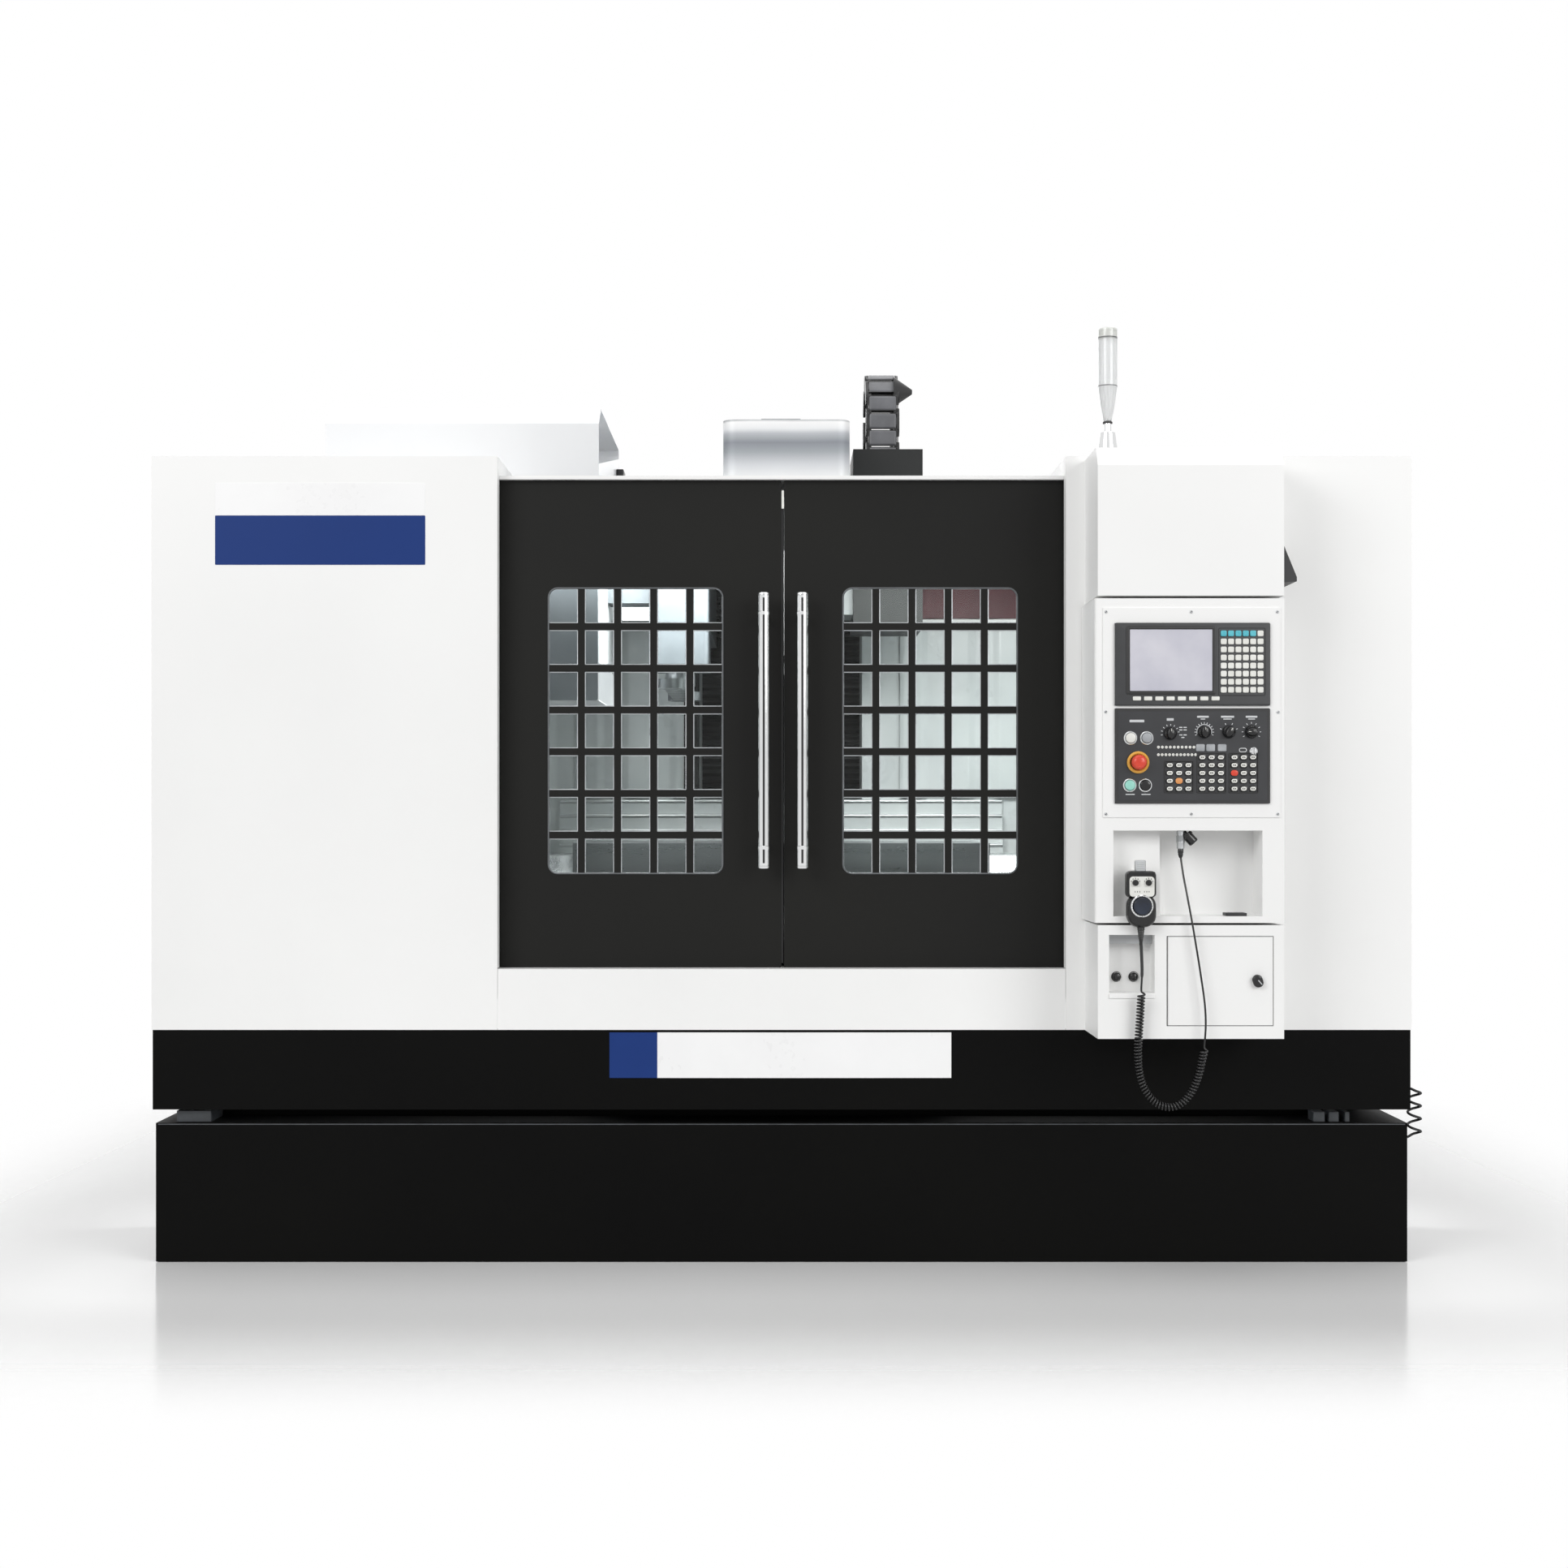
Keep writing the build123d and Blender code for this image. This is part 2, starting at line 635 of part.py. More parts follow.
def magazine_hood():
    """The magazine's white hood: a shell with a sloped front facet, its right side mostly closed."""
    front, back = HOOD_FRONT, HOOD_BACK
    section = [(front, HOOD_BOTTOM), (back, HOOD_BOTTOM), (back, HOOD_TOP), (front + HOOD_FACET, HOOD_TOP),
               (front, HOOD_EDGE)]
    s = SHEET
    hollow = [(front + s, HOOD_BOTTOM + s), (back - s, HOOD_BOTTOM + s), (back - s, HOOD_TOP - s),
              (front + HOOD_FACET + s / 2, HOOD_TOP - s), (front + s, HOOD_EDGE - s / 2)]
    hood = slab_x(section, HOOD_LEFT, HOOD_RIGHT) - slab_x(hollow, HOOD_LEFT + s, HOOD_RIGHT)
    side = [(front + s, HOOD_BOTTOM + s), (back - s, HOOD_BOTTOM + s), (back - s, HOOD_SIDE_BACK),
            (front + s, HOOD_SIDE_FRONT)]
    plate = slab_x(side, HOOD_RIGHT - s, HOOD_RIGHT)
    plate -= rod_x(HOOD_RIGHT - s, HOOD_RIGHT, SPINDLE_Y, DISC_Z, AXLE_RADIUS + s)
    sweep = ARM_REACH + ARM_GRIP_RADIUS + ARM_WIDTH / 2
    plate -= block(HOOD_RIGHT - s, HOOD_RIGHT, max(SPINDLE_Y - sweep, front + s), SPINDLE_Y + sweep,
                   HOOD_BOTTOM + s, GEARBOX_BOTTOM)
    return hood + plate


def changer_gearbox():
    """The changer's cam box with its bracket to the column and the axle of the magazine."""
    box = block(ARM_X - GEARBOX_HALF_X, ARM_X + GEARBOX_HALF_X, SPINDLE_Y - GEARBOX_HALF_Y,
                SPINDLE_Y + GEARBOX_HALF_Y, GEARBOX_BOTTOM, GEARBOX_TOP)
    box = fillet(box.edges().filter_by(Axis.Z), GEARBOX_PLATE)
    box += block(HOOD_RIGHT, ARM_X - GEARBOX_HALF_X, SPINDLE_Y - GEARBOX_HALF_Y / 2,
                 SPINDLE_Y + GEARBOX_HALF_Y / 2, DISC_Z - AXLE_RADIUS * 2, GEARBOX_TOP)
    right = ARM_X + GEARBOX_HALF_X
    box += block(right - GEARBOX_ARM_THICK, right, SPINDLE_Y + GEARBOX_PLATE, COLUMN_FRONT,
                 GEARBOX_TOP - GEARBOX_HALF_Y * 2, GEARBOX_TOP)
    box += rod_x(DISC_X - DISC_THICK, HOOD_RIGHT, SPINDLE_Y, DISC_Z, AXLE_RADIUS)
    collar = DISC_X + DISC_THICK / 2 + RUN_CLEAR
    box += rod_x(collar, collar + GEARBOX_PLATE, SPINDLE_Y, DISC_Z, AXLE_RADIUS * 1.4)
    box -= rod_z(GEARBOX_BOTTOM, GEARBOX_BOTTOM + STEM_DEPTH * 4, ARM_X, SPINDLE_Y,
                 ARM_SHAFT_RADIUS + SPINDLE_CLEAR)
    return box


def magazine_disc():
    """The tool disc with a ring of closed pots and lightening holes, turning on the axle."""
    disc = rod_x(DISC_X - DISC_THICK / 2, DISC_X + DISC_THICK / 2, SPINDLE_Y, DISC_Z, DISC_RADIUS)
    start = DISC_X - DISC_THICK / 2
    for i in range(POTS):
        angle = 2 * pi * i / POTS
        y, z = SPINDLE_Y + POT_RING * cos(angle), DISC_Z + POT_RING * sin(angle)
        disc += rod_x(start, DISC_X + POT_LENGTH, y, z, POT_RADIUS)
    for i in range(6):
        angle = 2 * pi * i / 6
        reach = DISC_RADIUS * 0.55
        disc -= rod_x(start, -start, SPINDLE_Y + reach * cos(angle), DISC_Z + reach * sin(angle),
                      DISC_RADIUS * 0.17)
    return disc - rod_x(start, DISC_X + DISC_THICK, SPINDLE_Y, DISC_Z, AXLE_RADIUS + DISC_BORE_CLEAR)


def changer_arm():
    """The double-ended change arm, parked along Y, on its shaft."""
    low, high = ARM_Z, ARM_Z + ARM_THICK
    arm = block(ARM_X - ARM_WIDTH / 2, ARM_X + ARM_WIDTH / 2, SPINDLE_Y - ARM_REACH, SPINDLE_Y + ARM_REACH, low, high)
    for side in (-1, 1):
        y = SPINDLE_Y + side * ARM_REACH
        arm += rod_z(low, high, ARM_X, y, ARM_GRIP_RADIUS + ARM_WIDTH / 4)
        arm -= rod_z(low, high, ARM_X, y, ARM_GRIP_RADIUS - ARM_WIDTH / 4)
        gap = sorted((ARM_X, ARM_X - side * ARM_WIDTH))
        arm -= block(*gap, y - ARM_WIDTH / 4, y + ARM_WIDTH / 4, low, high)
    arm += rod_z(high, GEARBOX_BOTTOM + STEM_DEPTH * 3, ARM_X, SPINDLE_Y, ARM_SHAFT_RADIUS)
    return arm + rod_z(high, GEARBOX_BOTTOM - RUN_CLEAR, ARM_X, SPINDLE_Y, ARM_SHAFT_RADIUS * 1.3)


def electrical_cabinet():
    """The cabinet on the column's back, with two doors and vent slots."""
    cabinet = block(-CABINET_HALF, CABINET_HALF, BED_BACK, CABINET_BACK - CABINET_DOOR_THICK,
                    CABINET_BOTTOM, CABINET_TOP)
    margin = CABINET_DOOR_MARGIN
    for side in (-1, 1):
        span = sorted((side * margin / 5, side * (CABINET_HALF - margin)))
        door = block(*span, CABINET_BACK - CABINET_DOOR_THICK, CABINET_BACK,
                     CABINET_BOTTOM + margin, CABINET_TOP - margin)
        middle = sum(span) / 2
        for i in range(CABINET_VENT_SLOTS):
            z = CABINET_BOTTOM + margin * (3 + 2 * i)
            door -= block(middle - margin * 6, middle + margin * 6, CABINET_BACK - CABINET_DOOR_THICK / 2,
                          CABINET_BACK, z, z + margin / 2)
        cabinet += door
    return cabinet


def rail_blocks(centre_x, centre_y, spread_x, spread_y, along_x, top, rail_bottom):
    """Four bearing blocks that straddle two rails below a casting."""
    blocks = Part()
    groove = RAIL_WIDTH / 2 + RUN_CLEAR
    side = RAIL_WIDTH / 2 + BLOCK_SIDE
    bottom = rail_bottom + RAIL_HEIGHT / 4
    for i in (-1, 1):
        for j in (-1, 1):
            x, y = centre_x + i * spread_x, centre_y + j * spread_y
            dx, dy = (BLOCK_LENGTH / 2, side) if along_x else (side, BLOCK_LENGTH / 2)
            gx, gy = (BLOCK_LENGTH / 2, groove) if along_x else (groove, BLOCK_LENGTH / 2)
            blocks += block(x - dx, x + dx, y - dy, y + dy, bottom, top)
            blocks -= block(x - gx, x + gx, y - gy, y + gy, bottom, rail_bottom + RAIL_HEIGHT + RUN_CLEAR)
    return blocks


def saddle():
    """The cross slide: bearing blocks below, a casting with wings, X rails, screw and motor."""
    front, back = SPINDLE_Y - TABLE_HALF_Y, SPINDLE_Y + TABLE_HALF_Y
    foot = BED_HALF - BED_WAIST
    wing = SADDLE_TOP - SADDLE_WING
    profile = [(-SADDLE_HALF_X, SADDLE_TOP), (SADDLE_HALF_X, SADDLE_TOP), (SADDLE_HALF_X, wing),
               (BED_HALF + BED_WAIST, wing), (foot, SADDLE_BOTTOM), (-foot, SADDLE_BOTTOM),
               (-BED_HALF - BED_WAIST, wing), (-SADDLE_HALF_X, wing)]
    body = slab_y(profile, front, back)
    body += rail_blocks(0, SPINDLE_Y, Y_RAIL_X, Y_BLOCK_SPREAD, False, SADDLE_BOTTOM, BED_TOP)
    screw_z = BED_TOP + RAIL_HEIGHT / 2 + COVER_STEP
    nut = block(-SCREW_BLOCK, SCREW_BLOCK, SPINDLE_Y - SCREW_BLOCK, SPINDLE_Y + SCREW_BLOCK,
                BED_TOP + COVER_STEP, SADDLE_BOTTOM)
    body += nut - rod_y(front, back, 0, screw_z, SCREW_RADIUS / 2 + RUN_CLEAR)
    for side in (-1, 1):
        y = SPINDLE_Y + side * X_RAIL_Y
        body += block(-X_RAIL_HALF, X_RAIL_HALF, y - RAIL_WIDTH / 2, y + RAIL_WIDTH / 2, SADDLE_TOP,
                      SADDLE_TOP + RAIL_HEIGHT)
        span = sorted((side * X_RAIL_HALF, side * (X_RAIL_HALF - SCREW_BLOCK)))
        body += block(*span, SPINDLE_Y - SCREW_BLOCK, SPINDLE_Y + SCREW_BLOCK, SADDLE_TOP,
                      SADDLE_TOP + SCREW_BLOCK)
    screw = SADDLE_TOP + RAIL_HEIGHT / 2 + COVER_STEP
    return body + rod_x(-X_RAIL_HALF, X_RAIL_HALF, SPINDLE_Y, screw, SCREW_RADIUS / 2)


def table():
    """The table: a slab with T-slots along X, on four bearing blocks, with the screw's nut."""
    bottom = TABLE_TOP - TABLE_THICK
    slab = block(-TABLE_HALF_X, TABLE_HALF_X, SPINDLE_Y - TABLE_HALF_Y, SPINDLE_Y + TABLE_HALF_Y, bottom, TABLE_TOP)
    neck_bottom = TABLE_TOP - SLOT_NECK_DEPTH
    for i in range(SLOT_COUNT):
        y = SPINDLE_Y + (i - (SLOT_COUNT - 1) / 2) * SLOT_PITCH
        slab -= block(-TABLE_HALF_X, TABLE_HALF_X, y - SLOT_NECK / 2, y + SLOT_NECK / 2, neck_bottom, TABLE_TOP)
        slab -= block(-TABLE_HALF_X, TABLE_HALF_X, y - SLOT_WIDE / 2, y + SLOT_WIDE / 2,
                      neck_bottom - SLOT_WIDE_DEPTH, neck_bottom)
    slab += rail_blocks(0, SPINDLE_Y, X_BLOCK_SPREAD, X_RAIL_Y, True, bottom, SADDLE_TOP)
    screw = SADDLE_TOP + RAIL_HEIGHT / 2 + COVER_STEP
    nut = block(-SCREW_BLOCK, SCREW_BLOCK, SPINDLE_Y - SCREW_BLOCK, SPINDLE_Y + SCREW_BLOCK,
                SADDLE_TOP + COVER_STEP, bottom)
    return slab + (nut - rod_x(-SCREW_BLOCK, SCREW_BLOCK, SPINDLE_Y, screw, SCREW_RADIUS / 2 + RUN_CLEAR))


def x_cover(side, start, nest):
    """One telescopic sheet beside the table. nest counts how far inside the others it slides."""
    step = nest * (COVER_SHEET + COVER_CLEAR)
    half, top, low = X_COVER_HALF_Y - step, X_COVER_TOP - step, SADDLE_TOP + (RUN_CLEAR if nest < 2 else 0)
    slope, s = X_COVER_SLOPE, COVER_SHEET
    y = SPINDLE_Y
    slant = s * 0.414
    section = [(y - half, low), (y - half, top - slope), (y - half + slope, top), (y + half - slope, top),
               (y + half, top - slope), (y + half, low), (y + half - s, low), (y + half - s, top - slope - slant),
               (y + half - slope - slant, top - s), (y - half + slope + slant, top - s),
               (y - half + s, top - slope - slant), (y - half + s, low)]
    return slab_x(section, *sorted((side * start, side * (start + X_COVER_LENGTH))))


def y_cover(start, length, nest):
    """One telescopic sheet in front of the cross slide, roofed to shed chips to both sides."""
    step = nest * (COVER_SHEET + COVER_CLEAR)
    half, top, side_top = Y_COVER_HALF - step, Y_COVER_TOP - step, Y_COVER_SIDE - step
    low = BED_TOP if nest else BED_TOP + RUN_CLEAR
    s, flat = COVER_SHEET, Y_COVER_HALF - Y_COVER_SLOPE * 2
    section = [(-half, low), (-half, side_top), (-flat, top), (flat, top), (half, side_top), (half, low),
               (half - s, low), (half - s, side_top - s / 2), (flat, top - s), (-flat, top - s),
               (-half + s, side_top - s / 2), (-half + s, low)]
    return slab_y(section, start, start + length)


def headstock():
    """The spindle head: a chamfered casting with the nose, its rail blocks and the motor on top."""
    head = block(-HEAD_HALF, HEAD_HALF, HEAD_FRONT, HEAD_BACK, HEAD_BOTTOM, HEAD_TOP)
    front_edges = head.edges().filter_by(Axis.Z).sort_by(Axis.Y)[:2]
    head = chamfer(front_edges, HEAD_CHAMFER)
    head += rod_z(NOSE_Z + NOSE_GAP + SPINDLE_FLANGE, HEAD_BOTTOM, 0, SPINDLE_Y, NOSE_RADIUS)
    head -= rod_z(NOSE_Z, SPINDLE_TOP + RUN_CLEAR, 0, SPINDLE_Y, SPINDLE_SHAFT + SPINDLE_CLEAR)
    head += rod_z(HEAD_TOP, MOTOR_TOP, 0, SPINDLE_Y, MOTOR_RADIUS)
    head += block(HEAD_HALF, CHAIN_BOX_LEFT, CHAIN_BOX_FRONT + SCREW_BLOCK, CHAIN_BOX_BACK - SCREW_BLOCK,
                  CHAIN_BOX_BOTTOM + SCREW_BLOCK, HEAD_TOP - SCREW_BLOCK)
    side = RAIL_WIDTH / 2 + BLOCK_SIDE
    groove = RAIL_WIDTH / 2 + RUN_CLEAR
    rail_face = COLUMN_FRONT - RAIL_HEIGHT
    for x in (-Z_RAIL_X, Z_RAIL_X):
        for z in (HEAD_BOTTOM, HEAD_TOP - BLOCK_LENGTH):
            pad = block(x - side, x + side, HEAD_BACK, COLUMN_FRONT - RAIL_HEIGHT / 4, z, z + BLOCK_LENGTH)
            head += pad - block(x - groove, x + groove, rail_face - RUN_CLEAR, COLUMN_FRONT, z, z + BLOCK_LENGTH)
    return head


def motor_cover():
    """The bright sheet cover over the spindle motor, bent round at its vertical corners."""
    left = MOTOR_COVER_X - MOTOR_COVER_WIDTH / 2
    right = left + MOTOR_COVER_WIDTH
    cover = block(left, right, MOTOR_COVER_FRONT, MOTOR_COVER_BACK, HEAD_TOP, MOTOR_COVER_TOP)
    cover = fillet(cover.edges().filter_by(Axis.Z), MOTOR_COVER_CORNER)
    hollow = block(left + SHEET, right - SHEET, MOTOR_COVER_FRONT + SHEET, MOTOR_COVER_BACK - SHEET,
                   HEAD_TOP, MOTOR_COVER_TOP - SHEET)
    return cover - fillet(hollow.edges().filter_by(Axis.Z), MOTOR_COVER_CORNER - SHEET)


def chain_box():
    """The black open-topped box that the cable chain rises from."""
    t = CHAIN_BOX_SHEET
    box = block(CHAIN_BOX_LEFT, CHAIN_BOX_RIGHT, CHAIN_BOX_FRONT, CHAIN_BOX_BACK, CHAIN_BOX_BOTTOM, CHAIN_BOX_TOP)
    return box - block(CHAIN_BOX_LEFT + t, CHAIN_BOX_RIGHT - t, CHAIN_BOX_FRONT + t, CHAIN_BOX_BACK - t,
                       CHAIN_BOX_BOTTOM + t, CHAIN_BOX_TOP)


def chain_link(inset):
    """One open link lying along Y: two rounded side plates and two cross bars."""
    half = CHAIN_WIDTH / 2 - inset * CHAIN_PLATE
    outline = SlotOverall(CHAIN_PITCH + CHAIN_THICK * 0.7, CHAIN_THICK)
    plate = Rot(0, 90, 0) * Rot(0, 0, 90) * extrude(outline, amount=CHAIN_PLATE)
    link = Pos(-half, 0, 0) * plate + Pos(half - CHAIN_PLATE, 0, 0) * plate
    for z in (-CHAIN_THICK / 2 + CHAIN_BAR / 2, CHAIN_THICK / 2 - CHAIN_BAR / 2):
        link += Pos(0, 0, z) * Box(half * 2 - CHAIN_PLATE, CHAIN_PITCH * 0.4, CHAIN_BAR)
    return link


def cable_chain():
    """The cable chain, an upside-down U of links with a guide cone: two legs and a bend, plates in and out by turns."""
    middle = GUARD_BACK - RUN_CLEAR - CHAIN_THICK / 2 - CHAIN_BEND
    places = []
    turn = 180 / CHAIN_LINKS_BEND
    reach = CHAIN_BEND * cos(radians(turn / 2))
    for i in reversed(range(CHAIN_LINKS_LEG)):
        places.append((middle - CHAIN_BEND, CHAIN_CENTRE_Z - (i + 0.5) * CHAIN_PITCH, 90))
    for i in range(CHAIN_LINKS_BEND):
        angle = (i + 0.5) * turn
        places.append((middle - reach * cos(radians(angle)), CHAIN_CENTRE_Z + reach * sin(radians(angle)),
                       90 - angle))
    for i in range(CHAIN_LINKS_LEG):
        places.append((middle + CHAIN_BEND, CHAIN_CENTRE_Z - (i + 0.5) * CHAIN_PITCH, -90))
    links = [Pos(CHAIN_X, y, z) * Rot(angle, 0, 0) * chain_link(i % 2) for i, (y, z, angle) in enumerate(places)]
    side = CHAIN_X + CHAIN_WIDTH / 2
    cone = Rot(0, 90, 0) * Cone(CHAIN_CONE_RADIUS, CHAIN_CONE_TIP, CHAIN_CONE_LENGTH + CHAIN_PLATE * 2)
    turn = radians(CHAIN_CONE_TURN)
    cone = Pos(side + CHAIN_CONE_LENGTH / 2 - CHAIN_PLATE, middle - reach * cos(turn), CHAIN_CENTRE_Z + reach * sin(turn)) * cone
    return links[0].fuse(*links[1:], cone)


def spindle():
    """The spindle: a flanged nose with a taper, two drive keys and a shaft in the head."""
    body = rod_z(NOSE_Z, NOSE_Z + SPINDLE_FLANGE, 0, SPINDLE_Y, SPINDLE_RADIUS)
    body += rod_z(NOSE_Z, SPINDLE_TOP, 0, SPINDLE_Y, SPINDLE_SHAFT)
    taper = Pos(0, SPINDLE_Y, NOSE_Z + TAPER_DEPTH / 2) * Cone(TAPER_MOUTH, TAPER_SMALL, TAPER_DEPTH)
    body -= taper
    for side in (-1, 1):
        span = sorted((side * TAPER_MOUTH * 1.3, side * SPINDLE_RADIUS * 0.9))
        body += block(*span, SPINDLE_Y - KEY_WIDTH / 2, SPINDLE_Y + KEY_WIDTH / 2, NOSE_Z - KEY_HEIGHT, NOSE_Z)
    return body


def door_panel(window_x, left):
    """One door: a folded tray with a barred window opening."""
    right = left + DOOR_WIDTH
    panel = block(left, right, DOOR_SETBACK, DOOR_BACK, DOOR_BOTTOM, DOOR_TOP)
    panel -= block(left + DOOR_SKIN, right - DOOR_SKIN, DOOR_SETBACK + DOOR_SKIN, DOOR_BACK,
                   DOOR_BOTTOM + DOOR_SKIN, DOOR_TOP - DOOR_SKIN)
    height = WINDOW_TOP - WINDOW_BOTTOM
    centre_z = (WINDOW_TOP + WINDOW_BOTTOM) / 2
    opening = extrude(RectangleRounded(WINDOW_WIDTH, height, WINDOW_CORNER), amount=DOOR_SKIN)
    opening = Pos(window_x, DOOR_SETBACK + DOOR_SKIN, centre_z) * Rot(90, 0, 0) * opening
    panel -= opening
    bars = Part()
    pitch_x = (WINDOW_WIDTH + BAR_WIDTH) / COLUMNS
    pitch_z = (height + BAR_WIDTH) / ROWS
    west, low = window_x - WINDOW_WIDTH / 2, WINDOW_BOTTOM
    for i in range(1, COLUMNS):
        x = west + i * pitch_x - BAR_WIDTH
        bars += block(x, x + BAR_WIDTH, DOOR_SETBACK + DOOR_SKIN - BAR_THICK / 2, DOOR_SETBACK + DOOR_SKIN,
                      low, WINDOW_TOP)
    for i in range(1, ROWS):
        z = low + i * pitch_z - BAR_WIDTH
        bars += block(west, west + WINDOW_WIDTH, DOOR_SETBACK + DOOR_SKIN - BAR_THICK / 2,
                      DOOR_SETBACK + DOOR_SKIN, z, z + BAR_WIDTH)
    return panel + bars


def door_glass(window_x):
    """The safety glass, lapping behind the window opening."""
    width = WINDOW_WIDTH + 2 * GLASS_LAP
    height = WINDOW_TOP - WINDOW_BOTTOM + 2 * GLASS_LAP
    pane = extrude(RectangleRounded(width, height, WINDOW_CORNER), amount=GLASS_THICK)
    centre_z = (WINDOW_TOP + WINDOW_BOTTOM) / 2
    return Pos(window_x, DOOR_SETBACK + DOOR_SKIN + GLASS_THICK, centre_z) * Rot(90, 0, 0) * pane


def door_handle(x):
    """A tall round handle on two posts."""
    y = DOOR_SETBACK - HANDLE_STANDOFF
    grip = rod_z(HANDLE_BOTTOM, HANDLE_TOP, x, y, HANDLE_RADIUS)
    grip = chamfer(grip.edges().filter_by(GeomType.CIRCLE), HANDLE_END_CHAMFER)
    for z in (HANDLE_BOTTOM + HANDLE_POST_INSET, HANDLE_TOP - HANDLE_POST_INSET):
        grip += rod_y(y, DOOR_SETBACK, x, z, HANDLE_POST_RADIUS)
    return grip


def pendant_head_box():
    """The fixed head of the pendant, with a chamfered top edge, a side vent and the top pivot."""
    section = [(PENDANT_FRONT, HEAD_BOX_BOTTOM), (0, HEAD_BOX_BOTTOM), (0, HEAD_BOX_RIDGE),
               (PENDANT_FRONT + HEAD_BOX_FACET, HEAD_BOX_RIDGE), (PENDANT_FRONT, HEAD_BOX_EDGE)]
    box = slab_x(section, PENDANT_LEFT, PENDANT_RIGHT)
    vent = [(PENDANT_RIGHT, VENT_TOP), (PENDANT_RIGHT, VENT_BOTTOM),
            (PENDANT_RIGHT + VENT_OUT, VENT_BOTTOM + VENT_OUT / 3)]
    box += slab_y(vent, VENT_FRONT, VENT_BACK)
    return box + rod_z(CONSOLE_TOP - PIVOT_DEPTH, HEAD_BOX_BOTTOM, PIVOT_X, PIVOT_Y, PIVOT_RADIUS)


def pendant_base_box():
    """The fixed base of the pendant: a niche with two round plugs and a storage compartment."""
    box = block(PENDANT_LEFT, PENDANT_RIGHT, PENDANT_FRONT, 0, COVER_BOTTOM, BASE_BOX_TOP)
    back = PENDANT_FRONT + BASE_NICHE_DEPTH
    box -= block(BASE_NICHE_LEFT, BASE_NICHE_RIGHT, PENDANT_FRONT, back, BASE_NICHE_BOTTOM, BASE_NICHE_TOP)
    spread = (BASE_NICHE_RIGHT - BASE_NICHE_LEFT) / 5
    for x in (BASE_NICHE_LEFT + spread * 1.3, BASE_NICHE_RIGHT - spread * 1.8):
        box += rod_y(back - PLUG_PROUD, back, x, PLUG_Z, PLUG_RADIUS)
    face = PENDANT_FRONT + STORE_DOOR_THICK + RUN_CLEAR
    box -= block(STORE_LEFT, STORE_RIGHT, PENDANT_FRONT, face, STORE_BOTTOM, STORE_TOP)
    box -= block(STORE_LEFT + STORE_RIM, STORE_RIGHT - STORE_RIM, face, PENDANT_FRONT + STORE_DEPTH,
                 STORE_BOTTOM + STORE_RIM, STORE_TOP - STORE_RIM)
    pin = STORE_PIN_RADIUS + STEM_CLEAR
    box -= rod_z(STORE_BOTTOM - STEM_DEPTH, STORE_TOP + STEM_DEPTH, STORE_AXIS_X, STORE_AXIS_Y, pin)
    box += rod_z(BASE_BOX_TOP, CONSOLE_BOTTOM - RUN_CLEAR, PIVOT_X, PIVOT_Y, PIVOT_RADIUS * 1.5)
    return box + rod_z(BASE_BOX_TOP, CONSOLE_BOTTOM + PIVOT_DEPTH, PIVOT_X, PIVOT_Y, PIVOT_RADIUS)


def storage_door():
    """The storage door, with its rounded hinge edge and two pivot pins."""
    low, high = STORE_BOTTOM + STORE_DOOR_GAP, STORE_TOP - STORE_DOOR_GAP
    front, back = PENDANT_FRONT, PENDANT_FRONT + STORE_DOOR_THICK
    door = block(STORE_AXIS_X, STORE_RIGHT - STORE_DOOR_GAP, front, back, low, high)
    door += rod_z(low, high, STORE_AXIS_X, STORE_AXIS_Y, STORE_DOOR_THICK / 2)
    door += rod_z(low - STEM_DEPTH, high + STEM_DEPTH, STORE_AXIS_X, STORE_AXIS_Y, STORE_PIN_RADIUS)
    return door - rod_y(front, back, LATCH_X, LATCH_Z, STEM_RADIUS + LATCH_CLEAR)


def storage_latch():
    """The turn latch: a knob in front, a stem through the door and a short cam behind."""
    front, back = PENDANT_FRONT, PENDANT_FRONT + STORE_DOOR_THICK
    latch = rod_y(front - RUN_CLEAR - LATCH_PROUD, front - RUN_CLEAR, LATCH_X, LATCH_Z, LATCH_RADIUS)
    latch = chamfer(latch.edges().filter_by(GeomType.CIRCLE).sort_by(Axis.Y)[0], HOOK_THICK)
    cam = back + RUN_CLEAR * 2
    latch += rod_y(front - RUN_CLEAR, cam, LATCH_X, LATCH_Z, STEM_RADIUS)
    return latch + block(LATCH_X - STEM_RADIUS, LATCH_X + LATCH_RADIUS * 1.5, cam, cam + HOOK_THICK,
                         LATCH_Z - STEM_RADIUS, LATCH_Z + STEM_RADIUS)


